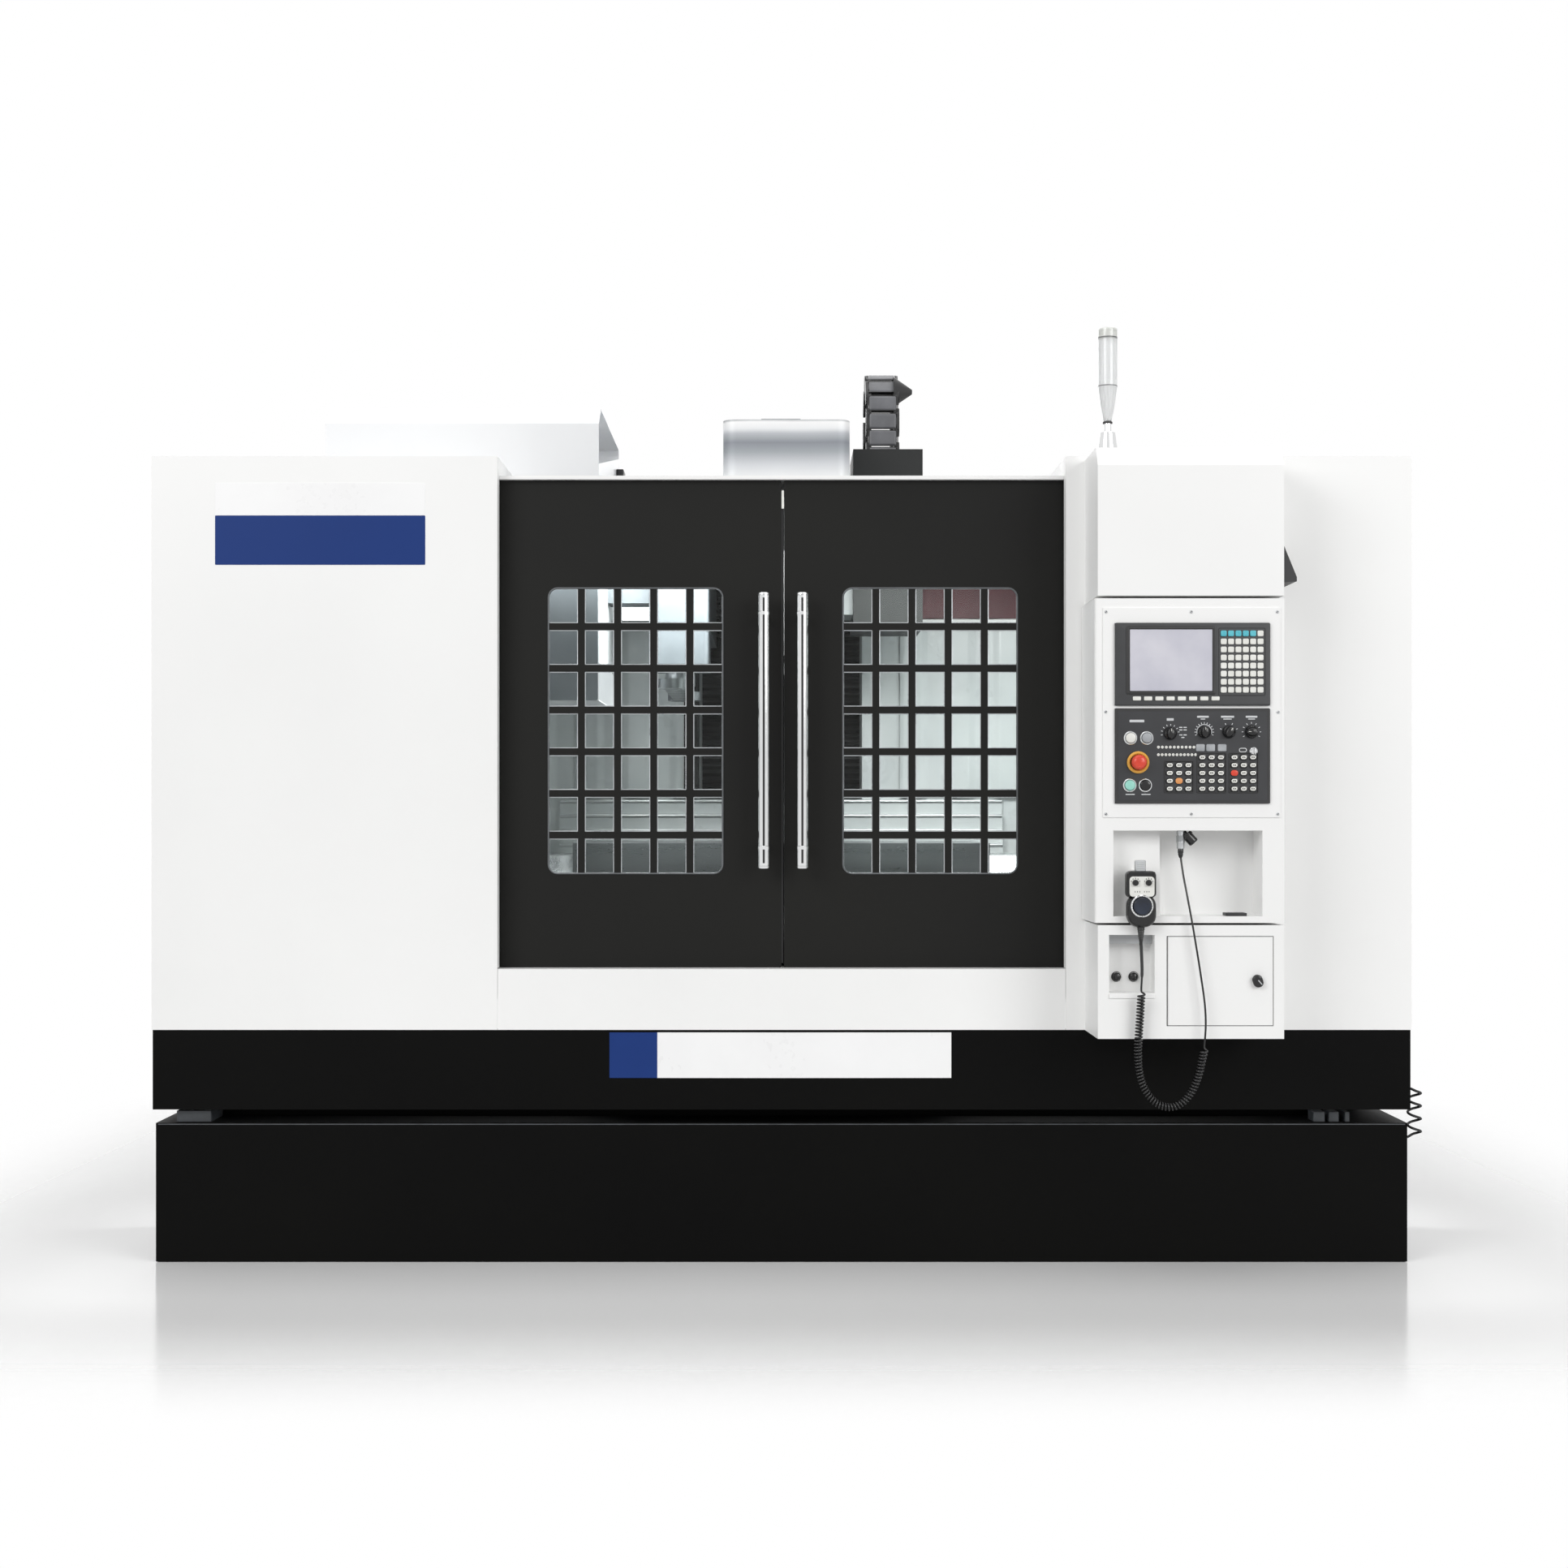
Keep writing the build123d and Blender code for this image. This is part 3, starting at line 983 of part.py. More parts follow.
def console_box():
    """The swivelling console: plate in front, two pockets for its units, a stepped niche below."""
    back = -CONSOLE_GAP
    box = block(CONSOLE_LEFT, CONSOLE_RIGHT, PENDANT_FRONT, back, CONSOLE_BOTTOM, CONSOLE_TOP)
    uprights = box.edges().filter_by(Axis.Z)
    box = fillet(uprights.sort_by(Axis.Y)[-2:].sort_by(Axis.X)[-1], PIVOT_INSET)
    box = fillet(box.edges().filter_by(Axis.Z).sort_by(Axis.Y)[:2], CONSOLE_CORNER)
    box += block(PLATE_LEFT, PLATE_RIGHT, PLATE_FRONT, PENDANT_FRONT, PLATE_BOTTOM, PLATE_TOP)
    pocket = PLATE_FRONT - PANEL_PROUD + UNIT_DEPTH
    box -= block(UNIT_LEFT, UNIT_RIGHT, PLATE_FRONT, pocket, PANEL_BOTTOM, PANEL_TOP)
    box -= block(UNIT_LEFT, UNIT_RIGHT, PLATE_FRONT, pocket, DISPLAY_BOTTOM, DISPLAY_TOP)
    box -= block(NICHE_LEFT, NICHE_STEP_X, PENDANT_FRONT, PENDANT_FRONT + NICHE_SHALLOW, NICHE_BOTTOM, NICHE_TOP)
    box -= block(NICHE_STEP_X, NICHE_RIGHT, PENDANT_FRONT, PENDANT_FRONT + NICHE_DEEP, NICHE_BOTTOM, NICHE_TOP)
    wall = PENDANT_FRONT + NICHE_SHALLOW
    box += block(HANDSET_X - HOOK_WIDTH / 2, HANDSET_X + HOOK_WIDTH / 2, HANDSET_BACK, wall,
                 HANDSET_TOP - HOOK_WIDTH, HANDSET_TOP - HOOK_WIDTH + HOOK_THICK)
    box += block(HANDSET_X - HOOK_WIDTH / 2, HANDSET_X + HOOK_WIDTH / 2, HANDSET_BACK, HANDSET_BACK + HOOK_THICK,
                 HANDSET_TOP - HOOK_WIDTH, HANDSET_TOP)
    pivot = PIVOT_RADIUS + PIVOT_CLEAR
    for low, high in ((CONSOLE_BOTTOM, CONSOLE_BOTTOM + PIVOT_DEPTH + 1), (CONSOLE_TOP - PIVOT_DEPTH - 1, CONSOLE_TOP)):
        box -= rod_z(low, high, PIVOT_X, PIVOT_Y, pivot)
    return box


def display_unit():
    """The display: bezel, recessed screen, a keypad on the right and soft keys below."""
    front = PLATE_FRONT - DISPLAY_PROUD
    back = PLATE_FRONT - PANEL_PROUD + UNIT_DEPTH
    unit = block(UNIT_LEFT, UNIT_RIGHT, front, back, DISPLAY_BOTTOM, DISPLAY_TOP)
    unit -= block(SCREEN_LEFT, SCREEN_RIGHT, front, front + SCREEN_RECESS, SCREEN_BOTTOM, SCREEN_TOP)
    keys = []
    for i in range(KEY_COLUMNS):
        for j in range(KEY_ROWS):
            x, z = KEY_FIRST_X + i * KEY_PITCH_X, KEY_FIRST_Z - j * KEY_PITCH_Z
            keys.append(block(x - KEY_SIDE / 2, x + KEY_SIDE / 2, front - KEY_PROUD, front,
                              z - KEY_SIDE / 2, z + KEY_SIDE / 2))
    for i in range(SOFT_KEYS):
        x = SOFT_KEY_FIRST_X + i * SOFT_KEY_PITCH
        keys.append(block(x - SOFT_KEY_WIDTH / 2, x + SOFT_KEY_WIDTH / 2, front - KEY_PROUD, front,
                          SOFT_KEY_Z - SOFT_KEY_HEIGHT / 2, SOFT_KEY_Z + SOFT_KEY_HEIGHT / 2))
    return unit.fuse(*keys)


def operator_panel():
    """The operator panel: holes for the knobs and buttons, rings, and three sunk key groups."""
    front = PANEL_FRONT
    panel = block(UNIT_LEFT, UNIT_RIGHT, front, front + UNIT_DEPTH, PANEL_BOTTOM, PANEL_TOP)
    keys = []
    for first_x, rows in ((GROUP_ONE_X, 4), (GROUP_TWO_X, 5), (GROUP_THREE_X, 5)):
        last_x = first_x + 2 * GROUP_PITCH_X
        top = GROUP_FIRST_Z + (rows - 1) * GROUP_PITCH_Z
        rim_x, rim_z = GROUP_PITCH_X / 2, GROUP_PITCH_Z / 2
        panel -= block(first_x - rim_x, last_x + rim_x, front, front + GROUP_RECESS,
                       GROUP_FIRST_Z - rim_z, top + rim_z)
        for i in range(3):
            for j in range(rows):
                x, z = first_x + i * GROUP_PITCH_X, GROUP_FIRST_Z + j * GROUP_PITCH_Z
                keys.append(block(x - GROUP_KEY_WIDTH / 2, x + GROUP_KEY_WIDTH / 2, front - KEY_PROUD / 2,
                                  front + GROUP_RECESS, z - GROUP_KEY_HEIGHT / 2, z + GROUP_KEY_HEIGHT / 2))
    panel = panel.fuse(*keys)
    for x, z in BUTTON_PLACES.values():
        panel += rod_y(front - BUTTON_RING, front, x, z, BUTTON_RADIUS + BUTTON_RING)
        panel -= rod_y(front - BUTTON_RING, front + STEM_DEPTH + BUTTON_TRAVEL + 1, x, z, BUTTON_RADIUS + STEM_CLEAR)
    for x, z in KNOB_PLACES.values():
        panel -= rod_y(front, front + STEM_DEPTH + 1, x, z, STEM_RADIUS + STEM_CLEAR)
    panel += rod_y(front - STOP_RING_PROUD, front, STOP_X, STOP_Z, STOP_RING_RADIUS)
    return panel - rod_y(front - STOP_RING_PROUD, front + STEM_DEPTH + 1, STOP_X, STOP_Z, STOP_STEM + STEM_CLEAR)


def push_button(x, z):
    """A round push button in its ring."""
    cap = rod_y(PANEL_FRONT - BUTTON_PROUD - BUTTON_TRAVEL, PANEL_FRONT + STEM_DEPTH, x, z, BUTTON_RADIUS)
    return chamfer(cap.edges().filter_by(GeomType.CIRCLE).sort_by(Axis.Y)[0], 1)


def rotary_knob(x, z, radius):
    """A rotary knob: a low skirt, a raised grip bar and a stem in the panel."""
    front = PANEL_FRONT - RUN_CLEAR
    knob = rod_y(front - KNOB_PROUD / 2, front, x, z, radius)
    knob += block(x - KNOB_GRIP / 2, x + KNOB_GRIP / 2, front - KNOB_PROUD, front - KNOB_PROUD / 2,
                  z - radius * 0.9, z + radius * 0.9)
    return knob + rod_y(front, PANEL_FRONT + STEM_DEPTH, x, z, STEM_RADIUS)


def estop_button():
    """The mushroom head of the emergency stop on its stem."""
    back = PANEL_FRONT - STOP_RING_PROUD - STOP_TRAVEL - RUN_CLEAR
    head = rod_y(back - STOP_HEAD_LENGTH, back, STOP_X, STOP_Z, STOP_HEAD_RADIUS)
    head = chamfer(head.edges().filter_by(GeomType.CIRCLE).sort_by(Axis.Y)[0], STOP_HEAD_LENGTH / 4)
    return head + rod_y(back, PANEL_FRONT + STEM_DEPTH - STOP_TRAVEL, STOP_X, STOP_Z, STOP_STEM)


def handset_body():
    """The hand-wheel housing: wider head, narrower lower part, selector knobs and strain relief."""
    front = HANDSET_BACK - HANDSET_DEPTH
    half = HANDSET_WIDTH / 2
    body = block(HANDSET_X - half, HANDSET_X + half, front, HANDSET_BACK, HANDSET_BOTTOM, HANDSET_TOP)
    body = fillet(body.edges().filter_by(Axis.Z), CONSOLE_CORNER)
    for x in (HANDSET_X - SELECTOR_SPREAD, HANDSET_X + SELECTOR_SPREAD):
        body += rod_y(front - SELECTOR_PROUD, front, x, SELECTOR_Z, SELECTOR_RADIUS)
    body -= rod_y(front, front + STEM_DEPTH + 1, HANDSET_X, DIAL_Z, STEM_RADIUS + STEM_CLEAR)
    relief_y = (front + HANDSET_BACK) / 2
    relief = Pos(HANDSET_X, relief_y, HANDSET_BOTTOM - RELIEF_LENGTH / 2)
    return body + relief * Cone(RELIEF_RADIUS * 0.7, RELIEF_RADIUS, RELIEF_LENGTH)


def handset_dial():
    """The round hand-wheel dial on its stem."""
    front = HANDSET_BACK - HANDSET_DEPTH - RUN_CLEAR
    dial = rod_y(front - DIAL_PROUD, front, HANDSET_X, DIAL_Z, DIAL_RADIUS)
    dial = chamfer(dial.edges().filter_by(GeomType.CIRCLE).sort_by(Axis.Y)[0], 2)
    return dial + rod_y(front, HANDSET_BACK - HANDSET_DEPTH + STEM_DEPTH, HANDSET_X, DIAL_Z, STEM_RADIUS)


def cord_plug():
    """The metal plug under the niche's ceiling that the cord goes into."""
    y = PENDANT_FRONT + CORD_PLUG_STANDOFF
    bottom = NICHE_TOP - CORD_PLUG_LENGTH
    plug = rod_z(bottom, NICHE_TOP, CORD_PLUG_X, y, CORD_PLUG_RADIUS)
    plug = chamfer(plug.edges().filter_by(GeomType.CIRCLE).sort_by(Axis.Z)[0], 2)
    return plug + rod_z(CORD_PLUG_EXIT, bottom, CORD_PLUG_X, y, RELIEF_RADIUS)


def tube(points, diameter):
    """A round cord of straight runs and tangent arcs. Prints the radii of its arcs."""
    radii = []
    for before, at, after in zip(points, points[1:], points[2:]):
        first, second = Vector(at) - Vector(before), Vector(after) - Vector(at)
        turn = radians(first.get_angle(second))
        radii.append(0.45 * min(first.length, second.length) * cos(turn / 2) / sin(turn / 2))
    print("cord radii", [round(r) for r in radii])
    path = FilletPolyline(*points, radius=radii)
    start = Plane(origin=points[0], z_dir=Vector(points[1]) - Vector(points[0]))
    body = sweep(start * Circle(diameter / 2), path=path)
    print("cord length", round(path.length), "volume over section", round(body.volume / (pi * diameter**2 / 4)))
    return body


def side_cable():
    """The coil of black cable at the right, as one round body with its two ends."""
    x = SKIRT_HALF + GLAND_PROUD + SIDE_COIL_STANDOFF + SIDE_COIL_RADIUS
    r = SIDE_CABLE_DIAMETER / 2
    coil = rod_z(SIDE_CABLE_BOTTOM - r, SIDE_CABLE_TOP + r, x, SIDE_CABLE_Y, SIDE_COIL_RADIUS)
    coil += rod_x(SKIRT_HALF + GLAND_PROUD, x, SIDE_CABLE_Y, SIDE_CABLE_TOP, r)
    return coil + rod_x(HALF - TANK_INSET + GLAND_PROUD, x, SIDE_CABLE_Y, SIDE_CABLE_BOTTOM, r)


def tower_light_base():
    """The signal tower's flared foot and thin neck."""
    foot = Pos(TOWER_X, TOWER_Y, (HEAD_BOX_RIDGE + TOWER_NECK_BOTTOM) / 2)
    base = foot * Cone(TOWER_FLANGE, TOWER_RADIUS * 0.8, TOWER_NECK_BOTTOM - HEAD_BOX_RIDGE)
    return base + rod_z(TOWER_NECK_BOTTOM, TOWER_CONE_BOTTOM, TOWER_X, TOWER_Y, TOWER_NECK_RADIUS)


def tower_light_lens():
    """The signal tower's body: a bullet foot, a clear tube and a cap with a groove."""
    r, neck = TOWER_RADIUS, TOWER_NECK_RADIUS
    taper = TOWER_TUBE_BOTTOM - TOWER_CONE_BOTTOM
    profile = [(0, TOWER_CONE_BOTTOM), (neck, TOWER_CONE_BOTTOM), (r * 0.72, TOWER_CONE_BOTTOM + taper * 0.45),
               (r, TOWER_TUBE_BOTTOM), (r, TOWER_CAP_BOTTOM - 1), (r - 1, TOWER_CAP_BOTTOM - 1),
               (r - 1, TOWER_CAP_BOTTOM), (r, TOWER_CAP_BOTTOM), (r, TOWER_TOP - 2), (r - 2, TOWER_TOP), (0, TOWER_TOP)]
    face = make_face(Polyline(*[(x, 0, z) for x, z in profile], close=True))
    return Pos(TOWER_X, TOWER_Y, 0) * revolve(face, Axis.Z)


# The cord's route, chosen by hand, from the hand-wheel set down to the coil and back up
LEAD_LOWER = [(HANDSET_X, CORD_Y, RELIEF_EXIT), (928, -255, 838), (929, -256.5, 796), (925.5, -257, 752)]
COIL_ROUTE = [(925.5, -257, 752), (924.5, -257, 700), (920, -257, 642), (917.5, -257, 587), (921, -257, 537),
              (934, -257, 496), (962, -257, 461), (999, -257, 449), (1034, -257, 462), (1060, -257, 495),
              (1076, -257, 537), (1085, -257, 582), (1088, -257, 606)]
LEAD_UPPER = [(1088, -257, 606), (1092, -257, 640), (1093, -257, 680), (1090, -256, 725), (1083, -256, 772),
              (1076, -255, 820), (1068, -254, 870), (1060, -252, 920), (1052, -248, 968), (1045, -238, 1014),
              (1040, -222, 1055), (CORD_PLUG_X, PENDANT_FRONT + CORD_PLUG_STANDOFF, CORD_PLUG_EXIT)]

os.makedirs("parts", exist_ok=True)

PIECES = {
    "bed_casting": bed_casting(),
    "levelling_feet": levelling_feet(),
    "column_casting": column_casting(),
    "coolant_tank": coolant_tank(),
    "machine_skirt": machine_skirt(),
    "left_cover": side_cover(-1),
    "right_cover": side_cover(1),
    "door_header": door_header(),
    "front_sill": front_sill(),
    "splash_back": splash_back(),
    "magazine_hood": magazine_hood(),
    "changer_gearbox": changer_gearbox(),
    "electrical_cabinet": electrical_cabinet(),
    "pendant_head_box": pendant_head_box(),
    "pendant_base_box": pendant_base_box(),
    "tower_light_base": tower_light_base(),
    "tower_light_lens": tower_light_lens(),
    "y_cover_outer": y_cover(TRACK_DEPTH, Y_COVER_LENGTH, 1),
    "side_cable": side_cable(),
    "magazine_disc": magazine_disc(),
    "changer_arm": changer_arm(),
    "left_door_panel": door_panel(WINDOW_LEFT_X, DOOR_MEETING - DOOR_WIDTH),
    "left_door_glass": door_glass(WINDOW_LEFT_X),
    "left_door_handle": door_handle(HANDLE_LEFT_X),
    "right_door_panel": door_panel(WINDOW_RIGHT_X, DOOR_MEETING + DOOR_SEAM),
    "right_door_glass": door_glass(WINDOW_RIGHT_X),
    "right_door_handle": door_handle(HANDLE_RIGHT_X),
    "console_box": console_box(),
    "display_unit": display_unit(),
    "operator_panel": operator_panel(),
    "handset_body": handset_body(),
    "handset_dial": handset_dial(),
    "cord_plug": cord_plug(),
    "cord_lead_lower": tube(LEAD_LOWER, CORD_DIAMETER),
    "cord_coil": tube(COIL_ROUTE, COIL_DIAMETER),
    "cord_lead_upper": tube(LEAD_UPPER, CORD_DIAMETER),
    "estop_button": estop_button(),
    "storage_door": storage_door(),
    "storage_latch": storage_latch(),
    "headstock": headstock(),
    "motor_cover": motor_cover(),
    "chain_box": chain_box(),
    "cable_chain": cable_chain(),
    "spindle": spindle(),
    "saddle": saddle(),
    "y_cover_inner": y_cover(SPINDLE_Y - TABLE_HALF_Y - Y_COVER_LENGTH, Y_COVER_LENGTH, 0),
    "x_covers_outer": Compound(children=[x_cover(side, X_COVER_START + X_TRAVEL, 2) for side in (-1, 1)]),
    "x_covers_inner": Compound(children=[x_cover(side, X_COVER_START, 0) for side in (-1, 1)]),
    "x_cover_left_mid": x_cover(-1, X_COVER_START + X_TRAVEL / 2, 1),
    "x_cover_right_mid": x_cover(1, X_COVER_START + X_TRAVEL / 2, 1),
    "table": table(),
}
for name, (x, z) in BUTTON_PLACES.items():
    PIECES[name] = push_button(x, z)
for name, (x, z) in KNOB_PLACES.items():
    PIECES[name] = rotary_knob(x, z, KEY_SWITCH_RADIUS if name == "key_switch" else KNOB_RADIUS)

for name, piece in PIECES.items():
    save(name, piece)
print(len(PIECES), "nodes, footprint centre at y =", MID_Y)
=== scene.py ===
"""Vertical machining centre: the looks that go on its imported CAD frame."""

import math

import bpy
import numpy as np
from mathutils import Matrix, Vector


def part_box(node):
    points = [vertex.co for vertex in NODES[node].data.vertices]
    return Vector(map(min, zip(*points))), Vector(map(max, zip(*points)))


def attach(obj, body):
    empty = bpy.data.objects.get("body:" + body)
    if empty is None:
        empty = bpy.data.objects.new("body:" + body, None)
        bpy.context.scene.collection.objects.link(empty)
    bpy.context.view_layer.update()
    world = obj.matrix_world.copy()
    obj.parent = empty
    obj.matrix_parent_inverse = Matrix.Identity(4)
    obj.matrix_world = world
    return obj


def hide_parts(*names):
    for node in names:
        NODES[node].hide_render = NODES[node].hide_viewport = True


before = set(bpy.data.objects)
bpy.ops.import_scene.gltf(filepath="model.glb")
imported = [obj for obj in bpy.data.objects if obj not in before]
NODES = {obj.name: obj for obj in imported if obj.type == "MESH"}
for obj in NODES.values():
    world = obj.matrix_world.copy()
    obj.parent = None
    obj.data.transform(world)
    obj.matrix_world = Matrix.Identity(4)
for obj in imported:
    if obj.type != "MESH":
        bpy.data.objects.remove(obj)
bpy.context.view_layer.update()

bl_info = {
    "name": "Vertical machining centre",
    "version": (1, 0, 0),
    "blender": (4, 5, 0),
    "location": "3D View > Sidebar > Machine",
    "description": "Dresses a packed machining centre and sets a studio round it",
    "category": "Object",
}

# The enclosure's front plane, in metres along y
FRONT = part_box("left_cover")[0].y
# Depths are millimetres behind that plane, as in the part's source: the faces of the console's base, its
# front plate, the display, the operator panel, the splash back and the rear sheets
PENDANT = -234
PLATE = -237
DISPLAY = -245
PANEL = -243
WALL = 1860
REAR = 2300.0
# Places across, from the middle of the machine: the side sheets' faces, and the middle of display and panel
HALF_WIDE = 1700
PANEL_X = 1061.5
# Edges over this angle stay crisp
CREASE = math.radians(35)
# Right, up and outwards for a surface that faces each way
FACINGS = {
    "front": ((1, 0, 0), (0, 0, 1), (0, -1, 0)),
    "back": ((-1, 0, 0), (0, 0, 1), (0, 1, 0)),
    "right": ((0, 1, 0), (0, 0, 1), (1, 0, 0)),
    "up": ((1, 0, 0), (0, 1, 0), (0, 0, 1)),
    "down": ((1, 0, 0), (0, -1, 0), (0, 0, -1)),
}


def row(points):
    """Points in the part's own millimetres (x, depth, z) as metres in the row frame."""
    return np.asarray(points, float) / 1000 + (0, FRONT, 0)


def linear(code):
    """An sRGB hex colour as linear light: v / 12.92 up to 0.04045, else ((v + 0.055) / 1.055) to the 2.4."""
    v = np.array([int(code[i:i + 2], 16) for i in (1, 3, 5)]) / 255
    v = np.where(v <= 0.04045, v / 12.92, ((v + 0.055) / 1.055) ** 2.4)
    return (*v.tolist(), 1.0)


# Surfaces. A shape is its vertices in millimetres and a list of face arrays, each with rows of one length.


def skin(rings, wrap=False):
    """Quads between neighbouring rings, P(i, j) to P(i + 1, j + 1). The first and last ring get a flat face,
    or with wrap the last ring joins the first."""
    rings = np.asarray(rings, float)
    k, n = rings.shape[:2]
    number = np.arange(k * n).reshape(k, n)
    a, b = number, np.roll(number, -1, axis=1)
    if wrap:
        c, d = np.roll(b, -1, axis=0), np.roll(a, -1, axis=0)
    else:
        a, b, c, d = a[:-1], b[:-1], b[1:], a[1:]
    faces = [np.stack([a, b, c, d], axis=-1).reshape(-1, 4)]
    if not wrap:
        faces += [number[:1, ::-1], number[-1:]]
    return rings.reshape(-1, 3), faces


def outward(shape):
    """The shape with its faces outwards, so that its volume, a sum of corner triple products, is positive."""
    vertices, faces = shape
    centre = vertices.mean(axis=0)
    volume = 0.0
    for rows in faces:
        p = vertices[rows] - centre
        first = np.repeat(p[:, :1], p.shape[1] - 2, axis=1)
        volume += np.einsum("ijk,ijk->", np.cross(p[:, 1:-1], p[:, 2:]), first)
    return shape if volume > 0 else (vertices, [rows[:, ::-1] for rows in faces])


def placed(shape, at, facing="front", turn=0.0):
    """The shape turned in its own plane by an angle, then faced and moved to a point in millimetres."""
    vertices, faces = shape
    c, s = math.cos(math.radians(turn)), math.sin(math.radians(turn))
    turned = vertices @ np.array([[c, s, 0], [-s, c, 0], [0, 0, 1]])
    return outward((turned @ np.array(FACINGS[facing], float) + at, faces))


def copies(shape, offsets):
    """The same shape at many places, as one shape."""
    vertices, faces = shape
    offsets = np.asarray(offsets, float)
    count = len(vertices)
    moved = (vertices[None] + offsets[:, None]).reshape(-1, 3)
    steps = np.arange(len(offsets))[:, None, None] * count
    return moved, [(rows[None] + steps).reshape(-1, rows.shape[1]) for rows in faces]


def circle(count):
    """Points round a circle of radius 1, (cos a, sin a), at even angles."""
    angle = np.linspace(0, 2 * math.pi, count, endpoint=False)
    return np.stack([np.cos(angle), np.sin(angle)], axis=1)


def fluted(count, flutes, depth):
    """A circle of radius 1 with flutes round it: (1 + depth cos(n a)) times (cos a, sin a)."""
    angle = np.linspace(0, 2 * math.pi, count, endpoint=False)
    return circle(count) * (1 + depth * np.cos(flutes * angle))[:, None]


def arc_band(outer, inner, first, last, count):
    """A flat outline along the arc r (cos a, sin a) at the outer radius, and back along the inner one."""
    angle = np.radians(np.concatenate([np.linspace(first, last, count), np.linspace(last, first, count)]))
    return np.repeat([outer, inner], count)[:, None] * np.column_stack([np.cos(angle), np.sin(angle)])


def outline(width, height, radius, steps=6):
    """A rounded rectangle: a quarter circle, centre + r (cos a, sin a), at each corner, and straight runs."""
    radius = max(min(radius, width / 2 - 1e-3, height / 2 - 1e-3), 1e-3)
    angle = (np.arange(4)[:, None] * 90 + np.linspace(0, 90, steps)[None]).ravel() * math.pi / 180
    sign = np.repeat([(1, 1), (-1, 1), (-1, -1), (1, -1)], steps, axis=0)
    corner = sign * (width / 2 - radius, height / 2 - radius)
    return corner + radius * np.stack([np.cos(angle), np.sin(angle)], axis=1)


def stacked(rings, wrap=False):
    """Flat outlines joined ring to ring, each given as an (outline, height) pair."""
    return skin([np.insert(flat, 2, high, axis=1) for flat, high in rings], wrap=wrap)


def moulded(width, height, radius, section, steps=6, wrap=False):
    """A rounded rectangle carried up a section of (inset, height) pairs, each ring drawn in by its inset."""
    return stacked([(outline(width - 2 * inset, height - 2 * inset, radius - inset, steps), high)
                    for inset, high in section], wrap)


def cushion(high, edge, steps=4):
    """The rounded top edge of a block, as (inset, height) pairs: a quarter circle of the edge's radius."""
    return [(edge * (1 - math.cos(a)), high - edge * (1 - math.sin(a)))
            for a in np.linspace(0, math.pi / 2, steps)]


def turned(profile, sides=40, wrap=False):
    """A profile of (radius, height) pairs turned once round its axis: x = r cos a, y = r sin a."""
    return stacked([(circle(sides) * radius, high) for radius, high in profile], wrap)


def extruded(flat, ends, axis=2):
    """A flat outline carried straight from one end to the other along x, y or z: axis 0, 1 or 2."""
    flat = np.asarray(flat, float)
    return outward(skin([np.insert(flat, axis, end, axis=1) for end in ends]))


def strip(lines):
    """A closed strip between lines side by side, each an (x, y, z) whose parts are numbers or arrays."""
    points = [np.stack(np.broadcast_arrays(*line), axis=-1) for line in lines]
    return outward(skin(np.stack(points, axis=1)))


def tube(path, radius, side=(1, 0, 0), sides=12, wrap=False):
    """A circle carried along a path: centre + r (N cos a + B sin a), N being the side made square to it."""
    path = np.asarray(path, float)
    if wrap:
        run = np.roll(path, -1, axis=0) - np.roll(path, 1, axis=0)
    else:
        run = np.gradient(path, axis=0)
    run /= np.linalg.norm(run, axis=1, keepdims=True)
    first = np.asarray(side, float) - (run @ np.asarray(side, float))[:, None] * run
    first /= np.linalg.norm(first, axis=1, keepdims=True)
    second = np.cross(run, first)
    c, s = circle(sides).T[:, None, :, None]
    radius = np.broadcast_to(radius, len(path))[:, None, None]
    return outward(skin(path[:, None] + radius * (first[:, None] * c + second[:, None] * s), wrap=wrap))


def slab(low, high, edge=0.0):
    """A block between two corners in millimetres, its four upright corners rounded by edge."""
    low, high = np.asarray(low, float), np.asarray(high, float)
    size, centre = high - low, (high + low) / 2
    shape = moulded(size[0], size[1], edge, [(0, low[2]), (0, high[2])], steps=4 if edge else 2)
    return outward((shape[0] + (centre[0], centre[1], 0), shape[1]))


def piece(name, shapes, surface, body="frame"):
    """One mesh piece from one or more shapes, in place, riding on a body, in the named finish and the slot
    that goes with it. Edges over the crease angle stay crisp."""
    shapes = shapes if isinstance(shapes, list) else [shapes]
    starts = np.cumsum([0] + [len(s[0]) for s in shapes])
    blocks = [rows + start for (_, faces), start in zip(shapes, starts) for rows in faces]
    corners = np.concatenate([rows.ravel() for rows in blocks]).astype(np.int32)
    counts = np.concatenate([np.full(len(rows), rows.shape[1]) for rows in blocks])
    mesh = bpy.data.meshes.new(name)
    mesh.vertices.add(starts[-1])
    points = row(np.concatenate([s[0] for s in shapes]))
    mesh.vertices.foreach_set("co", points.astype(np.float32).ravel())
    mesh.loops.add(len(corners))
    mesh.loops.foreach_set("vertex_index", corners)
    mesh.polygons.add(len(counts))
    mesh.polygons.foreach_set("loop_start", (np.cumsum(counts) - counts).astype(np.int32))
    mesh.update(calc_edges=True)
    mesh.polygons.foreach_set("use_smooth", np.ones(len(counts), bool))
    mesh.set_sharp_from_angle(angle=CREASE)
    mesh.materials.append(stuff(surface))
    made = bpy.data.objects.new(name, mesh)
    bpy.context.scene.collection.objects.link(made)
    if body:
        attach(made, body)
    return made


# Materials. Patterns are sized in millimetres; one too fine to render is drawn coarser, as its comment says.


